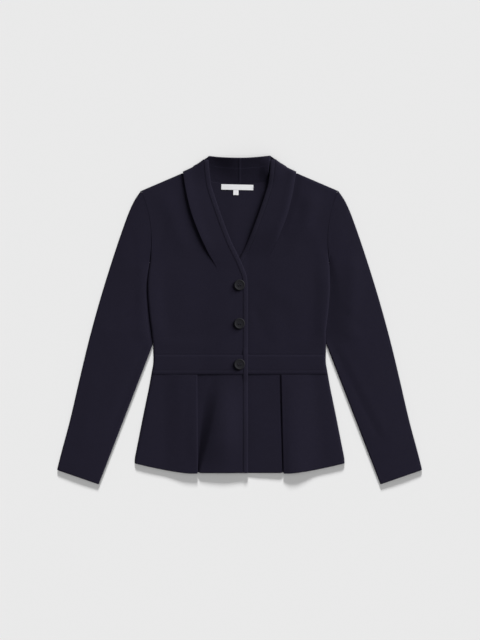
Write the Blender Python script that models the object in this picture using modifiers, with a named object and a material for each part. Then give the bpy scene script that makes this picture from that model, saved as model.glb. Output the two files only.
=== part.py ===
"""Knit jacket with a shawl lapel, a waistband and a pleated peplum, laid flat on its back.

Sizes are in millimetres and are turned into metres when a point is placed.
`out` is the distance from the centre line towards one side of the jacket.
`up` is the height above the front hem, towards the collar.
`top` is the height of a wall's upper face above the surface that the jacket lies on.
"""

import math
from collections import namedtuple

import bmesh
import bpy
from mathutils import Vector

MM = 0.001

# Cloth and seams
CLOTH = 1.6
BAND_CLOTH = 2.4
LABEL_CLOTH = 1.0
SEAM = 0.3
BINDING_WIDTH = 8.0
BINDING_PROUD = 0.7

# Heights above the front hem
HEM_UP = -0.5
BAND_LOW_UP = 201.5
BAND_HIGH_UP = 243.3
BREAK_UP = 430.0
BACK_NECK_UP = 592.5
COLLAR_TOP_UP = 645.5
COLLAR_CORNER_UP = 650.6
MIDDLE_UP = 313.0

# Distances from the centre line
FRONT_EDGE = 19.3
NECK_POINT_OUT = 115.4
COLLAR_CORNER_OUT = 64.0

# Heights of upper faces
FRONT_TOP = 5.6
BAND_TOP = 7.0
BUST_PUFF = 1.2
LAPEL_RISE = 4.2
SHOULDER_DIP = 1.6
COLLAR_RISE = 16.0
COLLAR_SIDE_RISE = 3.0
SIDE_ROLL = 5.0
SHOULDER_ROLL = 6.0
FRONT_SEAM_TOP = 2.75
BAND_SEAM_TOP = 3.75
PEPLUM_SEAM_TOP = 2.4
LAPEL_SEAM_LIFT = 1.3

# Overlap of the two fronts at the centre
LAP_FULL_OUT = 23.0
LAP_GONE_OUT = 48.0

# Lapel slash
SLASH_UNDERLAP = 16.0
SLASH_GAP = 0.8
SLASH_OPENING = 70.0

# Pleats
PLEAT_DEPTH = 26.0
PLEAT_FLOOR = 2.8
PLEAT_BEND_HIGH = 1.1
PLEAT_BEND_LOW = 1.4
PEPLUM_MID = 4.8

# Sleeves
SLEEVE_GAP = 0.8

# Buttons
BUTTON_RADIUS = 11.2
BUTTON_STEPS = 20
BUTTON_HOLE_RADIUS = 1.1
BUTTON_HOLE_SPREAD = 2.1

# Neck label and size tab
LABEL_WIDTH = 66.0
LABEL_HEIGHT = 11.3
LABEL_OUT = -4.7
TAB_WIDTH = 10.7
TAB_HEIGHT = 10.3
TAB_OUT = -6.5

Edge = namedtuple("Edge", "up out")
Half = namedtuple("Half", "name sign lap band_lap slash_up pleat_high pleat_low valley_high ridge")
Ring = namedtuple("Ring", "share outer_up inner_up bow edge crown")
Turn = namedtuple("Turn", "radius top")
Button = namedtuple("Button", "name up")

HALVES = (
    Half("right", -1, 2.0, 2.2, 414.0, 85.0, 82.5, 33.0, 3.2),
    Half("left", 1, -1.6, -1.2, 441.0, 85.5, 90.5, 16.0, 1.2),
)

SIDE = (
    Edge(19.5, 215.7),
    Edge(108.7, 199.3),
    Edge(201.5, 181.4),
    Edge(231.7, 176.9),
    Edge(272.7, 178.7),
    Edge(330.0, 185.6),
    Edge(381.0, 189.1),
    Edge(432.6, 184.2),
)
SHOULDER_TIP = Edge(579.0, 201.5)
NECK_POINT = Edge(616.0, NECK_POINT_OUT)
ARMHOLE_BOW = 10.6

LAPEL = (
    Edge(243.0, 34.0),
    Edge(414.0, 45.7),
    Edge(453.0, 65.2),
    Edge(490.0, 82.6),
    Edge(537.0, 100.0),
    Edge(580.0, 110.3),
    Edge(618.0, 116.5),
)

NECKLINE = (
    Edge(0.0, -19.3),
    Edge(370.0, -19.3),
    Edge(398.0, -17.3),
    Edge(428.5, -5.5),
    Edge(475.6, 17.0),
    Edge(535.0, 39.6),
    Edge(568.0, 50.8),
    Edge(594.5, 58.5),
    Edge(641.7, 63.5),
    Edge(651.0, 64.0),
)

COLLAR_FOLD = (
    Edge(617.5, 118.5),
    Edge(627.5, 97.0),
    Edge(639.8, 78.5),
    Edge(650.6, 64.0),
)

SLEEVE_OUTER = (
    Edge(579.3, 203.7),
    Edge(559.7, 215.5),
    Edge(539.2, 225.4),
    Edge(518.7, 233.4),
    Edge(436.7, 261.4),
    Edge(354.7, 286.7),
    Edge(272.7, 309.2),
    Edge(190.7, 329.0),
    Edge(108.7, 348.0),
    Edge(26.7, 369.8),
    Edge(6.1, 374.8),
)
SLEEVE_INNER_LOW = Edge(-23.8, 289.1)
SLEEVE_INNER_HIGH = Edge(252.0, 182.4)

SLEEVE_RINGS = (
    Ring(0.00, 579.3, 432.0, 10.4, 5.6, 5.6),
    Ring(0.08, 556.0, 416.0, 6.0, 5.2, 5.9),
    Ring(0.18, 518.0, 394.0, 2.0, 5.0, 6.2),
    Ring(0.30, 462.0, 362.0, 0.0, 4.8, 6.4),
    Ring(0.42, 400.0, 322.0, 0.0, 4.8, 6.4),
    Ring(0.56, 320.0, 268.0, 0.0, 5.0, 6.4),
    Ring(0.70, 232.0, 196.0, 0.0, 5.2, 6.4),
    Ring(0.85, 120.0, 88.0, 0.0, 5.2, 6.2),
    Ring(1.00, 6.1, -23.8, 0.0, 5.0, 5.6),
)

BUTTON_TURNS = (
    Turn(0.0, 0.0),
    Turn(9.4, 0.0),
    Turn(11.2, 1.2),
    Turn(11.2, 2.3),
    Turn(10.2, 3.2),
    Turn(9.0, 3.1),
    Turn(7.9, 2.2),
    Turn(0.0, 2.0),
)

BUTTONS = (
    Button("button_1", 385.4),
    Button("button_2", 306.4),
    Button("button_3", 223.0),
)


def clamp(value):
    return max(0.0, min(1.0, value))


def smooth(value):
    share = clamp(value)
    return share * share * (3.0 - 2.0 * share)


def mix(low, high, share):
    return low + (high - low) * share


def spread(low, high, count):
    return [mix(low, high, step / (count - 1)) for step in range(count)]


class Line:
    """A smooth line through the rows of a table, read by one of its columns."""

    def __init__(self, rows, key, column):
        pairs = sorted((getattr(row, key), getattr(row, column)) for row in rows)
        self.keys = [pair[0] for pair in pairs]
        self.values = [pair[1] for pair in pairs]
        last = len(pairs) - 1
        grades = []
        for step in range(last):
            rise = self.values[step + 1] - self.values[step]
            grades.append(rise / (self.keys[step + 1] - self.keys[step]))
        self.slopes = [grades[0]]
        for step in range(1, last):
            before, after = grades[step - 1], grades[step]
            same_way = before * after > 0.0
            self.slopes.append(2.0 * before * after / (before + after) if same_way else 0.0)
        self.slopes.append(grades[-1])

    def at(self, key):
        if key <= self.keys[0]:
            return self.values[0]
        if key >= self.keys[-1]:
            return self.values[-1]
        step = 0
        while key > self.keys[step + 1]:
            step += 1
        width = self.keys[step + 1] - self.keys[step]
        share = (key - self.keys[step]) / width
        rest = 1.0 - share
        return (
            self.values[step] * (1.0 + 2.0 * share) * rest * rest
            + self.values[step + 1] * (1.0 + 2.0 * rest) * share * share
            + self.slopes[step] * width * share * rest * rest
            - self.slopes[step + 1] * width * rest * share * share
        )


SIDE_LINE = Line(SIDE, "up", "out")
LAPEL_LINE = Line(LAPEL, "up", "out")
NECKLINE_LINE = Line(NECKLINE, "up", "out")
COLLAR_FOLD_LINE = Line(COLLAR_FOLD, "out", "up")
SLEEVE_OUTER_LINE = Line(SLEEVE_OUTER, "up", "out")


# Outlines

def side_out(up):
    under = SIDE[-1]
    if up <= under.up:
        return SIDE_LINE.at(up)
    share = clamp((up - under.up) / (SHOULDER_TIP.up - under.up))
    chord = mix(under.out, SHOULDER_TIP.out, share)
    return chord - 4.0 * ARMHOLE_BOW * share * (1.0 - share)


def shoulder_up(out):
    """Shoulder line, which goes on under the lapel just short of the back neck seam."""
    if out < NECK_POINT.out:
        return back_neck_up(out) - 1.6 * smooth((NECK_POINT.out - out) / 8.0)
    share = clamp((SHOULDER_TIP.out - out) / (SHOULDER_TIP.out - NECK_POINT.out))
    return mix(SHOULDER_TIP.up, NECK_POINT.up, share)


def back_neck_up(out):
    share = clamp(abs(out) / NECK_POINT.out)
    return mix(BACK_NECK_UP, NECK_POINT.up, share * share)


def back_top_up(out):
    if abs(out) >= NECK_POINT.out:
        return shoulder_up(abs(out))
    return back_neck_up(out) - SEAM / 2.0


def neckline_out(up):
    return NECKLINE_LINE.at(up)


def front_inner_out(up):
    """Edge of a front panel, beside its binding."""
    grade = (neckline_out(up + 2.0) - neckline_out(up - 2.0)) / 4.0
    return neckline_out(up) + (BINDING_WIDTH + SEAM + 0.4) * math.sqrt(1.0 + grade * grade)


def side_hem_up(out):
    return -1.5 + 21.0 * clamp((out - 100.0) / 115.7) ** 1.4


def sleeve_inner_out(up):
    low, high = SLEEVE_INNER_LOW, SLEEVE_INNER_HIGH
    line = mix(low.out, high.out, (up - low.up) / (high.up - low.up))
    return max(line, side_out(up) + SLEEVE_GAP)


def meet(out_at, up_at, up):
    """Height at which a column of a panel meets the line that ends it."""
    for _ in range(10):
        up = up_at(out_at(up))
    return up


# Heights of upper faces

def lapped(out):
    return 1.0 - smooth((out - LAP_FULL_OUT) / (LAP_GONE_OUT - LAP_FULL_OUT))


def front_top(half, out, up):
    lap = half.lap * lapped(out) * (1.0 - smooth((up - BREAK_UP) / 60.0))
    puff = BUST_PUFF * math.exp(-(((out - 105.0) / 50.0) ** 2) - ((up - 385.0) / 60.0) ** 2)
    return FRONT_TOP + lap + puff


def opening(half, up):
    return smooth((up - half.slash_up) / SLASH_OPENING)


def shoulder_flap_top(half, out, up):
    near = 1.0 - smooth((out - LAPEL_LINE.at(up)) / 25.0)
    return front_top(half, out, up) - SHOULDER_DIP * opening(half, up) * near


def lapel_top(half, out, up):
    outer = LAPEL_LINE.at(up)
    across = clamp((outer - out) / (outer - front_inner_out(up)))
    rise = LAPEL_RISE * opening(half, up) * (1.0 - 0.25 * across)
    curl = 0.9 * opening(half, up) * (1.0 - smooth(across / 0.1))
    return front_top(half, out, up) + rise - curl


def collar_top(along, high):
    """Upper face of the back-neck collar: along runs from side to centre back, high from seam to top."""
    rise = mix(COLLAR_SIDE_RISE, COLLAR_RISE, smooth(along * 1.5))
    return CLOTH + rise * (0.3 * high + 0.7 * high ** 2.2)


# Meshes

def place(sign, out, up, top):
    return Vector((sign * out, up - MIDDLE_UP, top)) * MM


def add_sheet(work, points):
    """Adds a grid of faces, one row of points after another, to a mesh that is being made."""
    rows = len(points)
    columns = len(points[0])
    made = bmesh.ops.create_grid(work, x_segments=columns - 1, y_segments=rows - 1, size=0.5)
    for vert in made["verts"]:
        column = round((vert.co.x + 0.5) * (columns - 1))
        row = round((vert.co.y + 0.5) * (rows - 1))
        vert.co = points[row][column]


def finish(name, work, colour, wall=0.0, offset=-1.0):
    """Turns a mesh into a named object with its own colour, and a sheet into a wall."""
    mesh = bpy.data.meshes.new(name)
    work.to_mesh(mesh)
    work.free()
    part = bpy.data.objects.new(name, mesh)
    COLLECTION.objects.link(part)
    material = bpy.data.materials.new(name)
    material.use_nodes = True
    material.diffuse_color = (*colour, 1.0)
    shader = material.node_tree.nodes["Principled BSDF"]
    shader.inputs["Base Color"].default_value = (*colour, 1.0)
    shader.inputs["Roughness"].default_value = 0.8
    mesh.materials.append(material)
    if wall > 0.0:
        solid = part.modifiers.new("wall", "SOLIDIFY")
        solid.thickness = wall * MM
        solid.offset = offset
        solid.use_even_offset = True
        solid.use_quality_normals = True
    return part


def face_up(work):
    total = sum(face.normal.z * face.calc_area() for face in work.faces)
    if total < 0.0:
        bmesh.ops.reverse_faces(work, faces=work.faces[:])


def panel(name, sheets, colour, wall=CLOTH, offset=-1.0):
    work = bmesh.new()
    for points in sheets:
        add_sheet(work, points)
    bmesh.ops.remove_doubles(work, verts=work.verts[:], dist=1e-6)
    work.normal_update()
    face_up(work)
    return finish(name, work, colour, wall, offset)


def face_out(work):
    middle = sum(face.calc_center_median().z for face in work.faces) / len(work.faces)
    total = 0.0
    for face in work.faces:
        total += face.normal.z * (face.calc_center_median().z - middle) * face.calc_area()
    if total < 0.0:
        bmesh.ops.reverse_faces(work, faces=work.faces[:])


def tube(name, rings, colour, wall):
    """A tube through rings of points; with no wall its ends are closed and it is solid."""
    work = bmesh.new()
    add_sheet(work, [ring + ring[:1] for ring in rings])
    bmesh.ops.remove_doubles(work, verts=work.verts[:], dist=1e-6)
    if wall == 0.0:
        bmesh.ops.holes_fill(work, edges=work.edges[:], sides=0)
    bmesh.ops.recalc_face_normals(work, faces=work.faces[:])
    work.normal_update()
    face_out(work)
    return finish(name, work, colour, wall)


# Fronts with their lapels

ROLL = (30.0, 60.0, 90.0)


def underlap(half, up):
    if up <= half.slash_up + 1e-6:
        return 0.0
    return mix(-SLASH_GAP, SLASH_UNDERLAP, smooth((opening(half, up) - 0.75) / 0.25))


def slash_end(half):
    """Height at which the edge under the lapel meets the shoulder."""
    return meet(lambda up: LAPEL_LINE.at(up) - underlap(half, up), shoulder_up, 590.0)


def front_rows(half):
    """Shares of the height, with a row at the end of the slash, then the angles of the shoulder's roll."""
    run = slash_end(half) - SHOULDER_ROLL - (BAND_HIGH_UP + SEAM / 2.0)
    tip = (half.slash_up - BAND_HIGH_UP - SEAM / 2.0) / run
    shares = spread(0.0, tip, 8) + spread(tip, 1.0, 10)[1:]
    return tip, [(share, 0.0) for share in shares] + [(1.0, math.radians(angle)) for angle in ROLL]


def rolled(top, end, side_angle, side_share, end_angle):
    drop = 1.0 - side_share * (1.0 - math.cos(side_angle))
    return end + (top - end) * drop * math.cos(end_angle)


def front_outer_point(half, share, end_angle, side_angle, across):
    """Point of the part of a front between the side and the lapel's slash."""
    base = BAND_HIGH_UP + SEAM / 2.0

    def out_at(up):
        inset = side_out(up) - SIDE_ROLL
        if across == 0.0:
            return inset + SIDE_ROLL * math.sin(side_angle)
        return mix(inset, LAPEL_LINE.at(up) - underlap(half, up), across)

    end = meet(out_at, shoulder_up, 590.0)
    up = mix(base, end - SHOULDER_ROLL, share) + SHOULDER_ROLL * math.sin(end_angle)
    out = out_at(up)
    if up <= half.slash_up + 1e-6 and across == 1.0:
        top = front_top(half, out, up)
    else:
        top = shoulder_flap_top(half, out, up)
    side_share = 1.0 - smooth((up - SIDE[-1].up + 10.0) / 40.0)
    low = FRONT_SEAM_TOP + 0.8 * (1.0 - smooth((out - LAPEL_LINE.at(up)) / 25.0))
    return place(half.sign, out, up, rolled(top, low, side_angle, side_share, end_angle))


def front_inner_point(half, tip, share, end_angle, across):
    """Point of the part of a front between the lapel's slash and the binding."""
    base = BAND_HIGH_UP + SEAM / 2.0

    def out_at(up):
        return mix(LAPEL_LINE.at(up), front_inner_out(up), across)

    end = meet(out_at, COLLAR_FOLD_LINE.at, 625.0)
    start = slash_end(half)
    up = mix(base, start - SHOULDER_ROLL, share)
    up += (end - start) * clamp((share - tip) / (1.0 - tip))
    up += SHOULDER_ROLL * math.sin(end_angle)
    out = out_at(up)
    high = clamp((NECK_POINT_OUT - out) / (NECK_POINT_OUT - COLLAR_CORNER_OUT))
    low = collar_top(0.0, high) + LAPEL_SEAM_LIFT
    return place(half.sign, out, up, rolled(lapel_top(half, out, up), low, 0.0, 0.0, end_angle))


def make_front(half):
    tip, rows = front_rows(half)
    outer = []
    inner = []
    for share, angle in rows:
        line = [front_outer_point(half, share, angle, math.radians(turn), 0.0) for turn in (90, 60, 30, 0)]
        line += [front_outer_point(half, share, angle, 0.0, across) for across in (0.2, 0.42, 0.62, 0.82, 1.0)]
        outer.append(line)
        across_all = (0.0, 0.07, 0.22, 0.42, 0.62, 0.82, 1.0)
        inner.append([front_inner_point(half, tip, share, angle, across) for across in across_all])
    return panel("front_" + half.name, [outer, inner], KNIT)


# Waistband

BAND_PROFILE = ((0.0, -0.4), (0.05, 0.3), (0.17, 0.4), (0.21, 0.0), (0.5, 0.1), (0.92, 0.0), (1.0, -0.5))


def band_top(half, out):
    return BAND_TOP + half.band_lap * lapped(out)


def make_band(half):
    low = BAND_LOW_UP + SEAM / 2.0
    high = BAND_HIGH_UP - SEAM / 2.0
    points = []
    for share, proud in BAND_PROFILE:
        up = mix(low, high, share)
        inset = side_out(up) - SIDE_ROLL
        line = []
        for turn in (90, 60, 30):
            angle = math.radians(turn)
            top = rolled(BAND_TOP + proud, BAND_SEAM_TOP, angle, 1.0, 0.0)
            line.append(place(half.sign, inset + SIDE_ROLL * math.sin(angle), up, top))
        for out in spread(inset, 50.0, 4) + spread(46.0, 24.0, 4) + [front_inner_out(up)]:
            line.append(place(half.sign, out, up, band_top(half, out) + proud))
        points.append(line)
    return panel("waistband_" + half.name, [points], KNIT, BAND_CLOTH)


# Peplum

def pleat_out(half, low):
    return mix(half.pleat_high, half.pleat_low, low)


def peplum_section(half, low):
    """Points of one level line of a front peplum: out, middle of the wall, and height of its hem."""
    edge = pleat_out(half, low)
    bend = mix(PLEAT_BEND_HIGH, PLEAT_BEND_LOW, low)
    up = mix(BAND_LOW_UP - SEAM / 2.0, 10.0, low)
    side = side_out(up) - CLOTH / 2.0
    over_mid = PLEAT_FLOOR + 4.0 * bend
    under_hem = 1.5
    points = []
    for turn in (90, 60, 30):
        angle = math.radians(turn)
        out = side - SIDE_ROLL + SIDE_ROLL * math.sin(angle)
        points.append((out, rolled(PEPLUM_MID, PEPLUM_SEAM_TOP, angle, 1.0, 0.0), side_hem_up(out)))
    for share in (0.0, 0.2, 0.4, 0.6, 0.8, 1.0):
        out = mix(side - SIDE_ROLL, edge + bend, share)
        stack = 1.0 - smooth((out - edge - PLEAT_DEPTH) / 45.0)
        points.append((out, mix(PEPLUM_MID, over_mid, stack), side_hem_up(out)))
    for turn in (45, 90, 135, 180):
        angle = math.radians(turn)
        middle = over_mid - bend + bend * math.cos(angle)
        points.append((edge + bend - bend * math.sin(angle), middle, mix(-1.5, under_hem, turn / 180.0)))
    points.append((edge + PLEAT_DEPTH / 2.0, over_mid - 2.0 * bend, under_hem))
    for turn in (0, 45, 90, 135, 180):
        angle = math.radians(turn)
        middle = PLEAT_FLOOR + bend + bend * math.cos(angle)
        points.append((edge + PLEAT_DEPTH - bend + bend * math.sin(angle), middle, under_hem))
    near = edge - mix(half.valley_high * 0.4, 1.0, low)
    far = edge - mix(half.valley_high, 17.0, low)
    points.append((edge + 8.0, PLEAT_FLOOR, under_hem))
    points.append((near, PLEAT_FLOOR, under_hem))
    inner = front_inner_out(up)
    for share in (0.3, 0.65, 1.0):
        out = mix(near, far, share)
        points.append((out, mix(PLEAT_FLOOR, centre_mid(half, out, low), smooth(share)), mix(under_hem, HEM_UP, share)))
    for share in (0.22, 0.45, 0.72, 1.0):
        out = mix(far, inner, share)
        points.append((out, centre_mid(half, out, low), HEM_UP))
    return points


def centre_mid(half, out, low):
    """Middle of the wall of the peplum's centre panel, which swells into a soft ridge at the hem."""
    ridge = half.ridge * low * math.exp(-(((out - 50.0) / 20.0) ** 2))
    return PEPLUM_MID + half.lap * lapped(out) + ridge


def make_peplum(half):
    start = BAND_LOW_UP - SEAM / 2.0
    points = []
    for low in spread(0.0, 1.0, 9):
        line = []
        for out, middle, hem in peplum_section(half, low):
            line.append(place(half.sign, out, mix(start, hem, low), middle))
        points.append(line)
    return panel("peplum_" + half.name, [points], KNIT, CLOTH, 0.0)


# Back

def make_back():
    base = BAND_HIGH_UP + SEAM / 2.0
    outs = spread(-1.0, 1.0, 19)
    points = []
    for share in spread(0.0, 1.0, 15):
        line = []
        for across in outs:
            end = meet(lambda up: side_out(up) * across, back_top_up, 590.0)
            up = mix(base, end, share)
            line.append(place(1, side_out(up) * across, up, CLOTH))
        points.append(line)
    panel("back_bodice", [points], KNIT)
    points = []
    for up in spread(BAND_LOW_UP + SEAM / 2.0, BAND_HIGH_UP - SEAM / 2.0, 4):
        points.append([place(1, side_out(up) * across, up, BAND_CLOTH) for across in spread(-1.0, 1.0, 7)])
    panel("back_waistband", [points], KNIT, BAND_CLOTH)
    points = []
    start = BAND_LOW_UP - SEAM / 2.0
    for low in spread(0.0, 1.0, 8):
        line = []
        for across in spread(-1.0, 1.0, 15):
            up = mix(start, 19.5, low)
            out = side_out(up) * across
            line.append(place(1, out, mix(start, side_hem_up(abs(out)) + 2.5, low), CLOTH))
        points.append(line)
    panel("back_peplum", [points], KNIT)


# Collar

def make_collar(half):
    points = []
    for high in spread(0.0, 1.0, 7):
        line = []
        for along in spread(0.0, 1.0, 9):
            low_out = mix(NECK_POINT_OUT, SEAM / 2.0, along)
            top_out = mix(COLLAR_CORNER_OUT, SEAM / 2.0, along)
            out = mix(low_out, top_out, high)
            top_up = mix(COLLAR_TOP_UP, COLLAR_CORNER_UP, (top_out / COLLAR_CORNER_OUT) ** 2)
            up = mix(back_neck_up(low_out) + SEAM / 2.0, top_up, high)
            fold = COLLAR_FOLD_LINE.at(out) - 0.8
            up = mix(up, min(up, fold), (1.0 - along) ** 2)
            line.append(place(half.sign, out, up, collar_top(along, high)))
        points.append(line)
    return panel("collar_" + half.name, [points], KNIT)


# Sleeves

SLEEVE_OUTER_UP = Line(SLEEVE_RINGS, "share", "outer_up")
SLEEVE_INNER_UP = Line(SLEEVE_RINGS, "share", "inner_up")
SLEEVE_BOW = Line(SLEEVE_RINGS, "share", "bow")
SLEEVE_EDGE = Line(SLEEVE_RINGS, "share", "edge")
SLEEVE_CROWN = Line(SLEEVE_RINGS, "share", "crown")


def lean(chord, across_edge, share):
    """Way from a folded edge into the sleeve: along the armhole at first, then across the edge."""
    return (Vector(chord).normalized() * (1.0 - share) + Vector(across_edge) * share).normalized()


def sleeve_ring(half, share):
    outer_up = SLEEVE_OUTER_UP.at(share)
    inner_up = SLEEVE_INNER_UP.at(share)
    outer = Vector((SLEEVE_OUTER_LINE.at(outer_up), outer_up))
    inner = Vector((sleeve_inner_out(inner_up), inner_up))
    edge = SLEEVE_EDGE.at(share)
    crown = SLEEVE_CROWN.at(share)
    bow = SLEEVE_BOW.at(share)
    turned = smooth((share + 0.03) / 0.08)
    outer_way = lean(inner - outer, (-0.9, -0.43), turned)
    inner_way = lean(outer - inner, (0.95, 0.3), turned)
    half_edge = edge / 2.0
    start = outer + outer_way * half_edge
    end = inner + inner_way * half_edge

    def flat(across, top):
        spot = start.lerp(end, across)
        return place(half.sign, spot.x - 4.0 * bow * across * (1.0 - across), spot.y, top)

    def bent(corner, way, angle):
        turn = math.radians(angle)
        spot = corner + way * half_edge * (1.0 - math.cos(turn))
        return place(half.sign, spot.x, spot.y, half_edge * (1.0 + math.sin(turn)))

    ring = [flat(across, 0.0) for across in spread(0.0, 1.0, 6)]
    ring += [bent(inner, inner_way, angle) for angle in (-45.0, 0.0, 45.0)]
    for across in spread(1.0, 0.0, 7):
        ring.append(flat(across, edge + (crown - edge) * math.sin(math.pi * across)))
    ring += [bent(outer, outer_way, angle) for angle in (45.0, 0.0, -45.0)]
    return ring


def make_sleeve(half):
    shares = spread(0.0, 0.3, 6) + spread(0.3, 1.0, 9)[1:]
    return tube("sleeve_" + half.name, [sleeve_ring(half, share) for share in shares], KNIT, CLOTH)


# Binding

def edge_top(half, up):
    """Upper face of a front's inner edge, from the hem to the lapel."""
    out = front_inner_out(up)
    reach = 14.0 if half.lap > 0.0 else 6.0
    band = smooth((up - BAND_LOW_UP + reach) / 14.0)
    band *= 1.0 - smooth((up - BAND_HIGH_UP + 14.0 - reach) / 14.0)
    if up > half.slash_up:
        return lapel_top(half, out, up)
    return front_top(half, out, up) + (BAND_TOP - FRONT_TOP + half.band_lap - half.lap) * band


def make_binding(half):
    def out_at(up):
        return front_inner_out(up)

    end = meet(out_at, COLLAR_FOLD_LINE.at, 640.0)
    ups = spread(HEM_UP, BAND_LOW_UP - 16.0, 4)[:-1] + spread(BAND_LOW_UP - 16.0, BAND_LOW_UP + 14.0, 5)
    ups += spread(BAND_HIGH_UP - 14.0, BAND_HIGH_UP + 16.0, 5) + spread(315.0, 360.0, 2)
    ups += spread(374.0, end - SHOULDER_ROLL, 21)
    path = [Vector((front_inner_out(up), up, edge_top(half, up))) for up in ups]
    top = path[-1].z
    low = collar_top(0.0, 1.0) + CLOTH + 2.0 * SEAM + 0.6
    for turn in (30.0, 60.0):
        angle = math.radians(turn)
        up = end - SHOULDER_ROLL + SHOULDER_ROLL * math.sin(angle)
        path.append(Vector((front_inner_out(up), up, low + (top - low) * math.cos(angle))))
    wide = BINDING_WIDTH
    profile = (
        (SEAM, -0.3),
        (SEAM + 1.2, BINDING_PROUD - 0.1),
        (SEAM + wide * 0.5, BINDING_PROUD),
        (SEAM + wide - 1.4, BINDING_PROUD - 0.2),
        (SEAM + wide, -0.5),
        (SEAM + wide - 0.3, -CLOTH),
        (SEAM + wide - 1.5, -CLOTH - 0.2),
        (SEAM, -CLOTH - 0.2),
    )
    rings = []
    for step, spot in enumerate(path):
        clear = 0.4 if step < len(path) - 3 else 0.9
        before = path[max(step - 1, 0)]
        after = path[min(step + 1, len(path) - 1)]
        along = (after - before).normalized()
        inward = Vector((-along.y, along.x, 0.0)).normalized()
        above = along.cross(inward)
        ring = []
        for width, proud in profile:
            point = spot + inward * (width + clear) + above * proud
            ring.append(place(half.sign, point.x, point.y, point.z))
        rings.append(ring)
    return tube("binding_" + half.name, rings, BINDING, 0.0)


# Buttons

def make_button(button):
    half = HALVES[0]
    on_band = BAND_LOW_UP < button.up < BAND_HIGH_UP
    base = band_top(half, 0.0) + 0.4 if on_band else front_top(half, 0.0, button.up)
    work = bmesh.new()
    verts = [work.verts.new((turn.radius * MM, 0.0, turn.top * MM)) for turn in BUTTON_TURNS]
    edges = [work.edges.new(pair) for pair in zip(verts, verts[1:])]
    bmesh.ops.spin(
        work,
        geom=verts + edges,
        cent=(0.0, 0.0, 0.0),
        axis=(0.0, 0.0, 1.0),
        angle=2.0 * math.pi,
        steps=BUTTON_STEPS,
        use_merge=True,
    )
    bmesh.ops.remove_doubles(work, verts=work.verts[:], dist=1e-6)
    bmesh.ops.recalc_face_normals(work, faces=work.faces[:])
    part = finish(button.name, work, HORN)
    part.location = place(1, 0.0, button.up, base + SEAM)
    for number, (across, along) in enumerate(((1, 1), (1, -1), (-1, 1), (-1, -1))):
        drill = bmesh.new()
        bmesh.ops.create_cone(
            drill,
            cap_ends=True,
            segments=8,
            radius1=BUTTON_HOLE_RADIUS * MM,
            radius2=BUTTON_HOLE_RADIUS * MM,
            depth=10.0 * MM,
        )
        mesh = bpy.data.meshes.new("drill")
        drill.to_mesh(mesh)
        drill.free()
        cutter = bpy.data.objects.new("drill", mesh)
        COLLECTION.objects.link(cutter)
        spot = Vector((across, along, 0.0)) * BUTTON_HOLE_SPREAD * MM
        cutter.location = part.location + spot
        bpy.context.view_layer.update()
        cut = part.modifiers.new("hole_%d" % number, "BOOLEAN")
        cut.operation = "DIFFERENCE"
        cut.solver = "EXACT"
        cut.object = cutter
        bpy.context.view_layer.objects.active = part
        bpy.ops.object.modifier_apply(modifier=cut.name)
        bpy.data.objects.remove(cutter)
    return part


# Label

def make_tag(name, out, up_top, width, height):
    work = bmesh.new()
    bmesh.ops.create_cube(work, size=1.0)
    bmesh.ops.scale(work, verts=work.verts[:], vec=(width * MM, height * MM, LABEL_CLOTH * MM))
    part = finish(name, work, WHITE)
    part.location = place(1, out, up_top - height / 2.0, CLOTH + SEAM + LABEL_CLOTH / 2.0)
    soft = part.modifiers.new("edge", "BEVEL")
    soft.width = 0.2 * MM
    soft.segments = 1
    return part


KNIT = (0.0153, 0.0137, 0.0232)
BINDING = (0.021, 0.019, 0.030)
HORN = (0.030, 0.030, 0.034)
WHITE = (0.72, 0.72, 0.74)

for old in list(bpy.data.objects):
    bpy.data.objects.remove(old)

COLLECTION = bpy.data.collections.new("knit_jacket")
bpy.context.scene.collection.children.link(COLLECTION)

make_back()
for jacket_half in HALVES:
    make_front(jacket_half)
    make_band(jacket_half)
    make_peplum(jacket_half)
    make_collar(jacket_half)
    make_sleeve(jacket_half)
    make_binding(jacket_half)
for jacket_button in BUTTONS:
    make_button(jacket_button)
make_tag("neck_label", LABEL_OUT, BACK_NECK_UP - 0.8, LABEL_WIDTH, LABEL_HEIGHT)
make_tag("size_tab", TAB_OUT, BACK_NECK_UP - 0.8 - LABEL_HEIGHT - SEAM, TAB_WIDTH, TAB_HEIGHT)
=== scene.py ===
"""Dark navy knit jacket, laid flat on its back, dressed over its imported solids.

Sizes in the tables are in millimetres and are turned into metres when a point is placed.
`out` is the distance from the centre line towards one side of the jacket.
`up` is the height above the front hem, towards the collar.
`top` is the height of a wall's upper face above the surface that the jacket lies on.
"Right" and "left" are the wearer's.
"""

import math
from collections import namedtuple

import bmesh
import bpy
from bpy.props import FloatProperty, FloatVectorProperty, PointerProperty
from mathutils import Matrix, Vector


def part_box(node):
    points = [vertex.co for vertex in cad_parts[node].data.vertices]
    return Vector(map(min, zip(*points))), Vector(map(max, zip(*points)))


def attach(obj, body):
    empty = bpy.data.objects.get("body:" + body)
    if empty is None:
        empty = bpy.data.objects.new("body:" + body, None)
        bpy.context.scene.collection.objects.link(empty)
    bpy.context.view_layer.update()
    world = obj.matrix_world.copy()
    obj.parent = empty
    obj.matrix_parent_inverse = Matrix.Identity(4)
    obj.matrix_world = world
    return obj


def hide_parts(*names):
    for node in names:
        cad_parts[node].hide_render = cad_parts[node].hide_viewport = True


bl_info = {
    "name": "Knit jacket",
    "version": (1, 0, 0),
    "blender": (4, 5, 0),
    "location": "View3D > Sidebar > Jacket",
    "description": "Dresses the packed solids of a knit jacket that is laid flat",
    "category": "Object",
}

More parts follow.
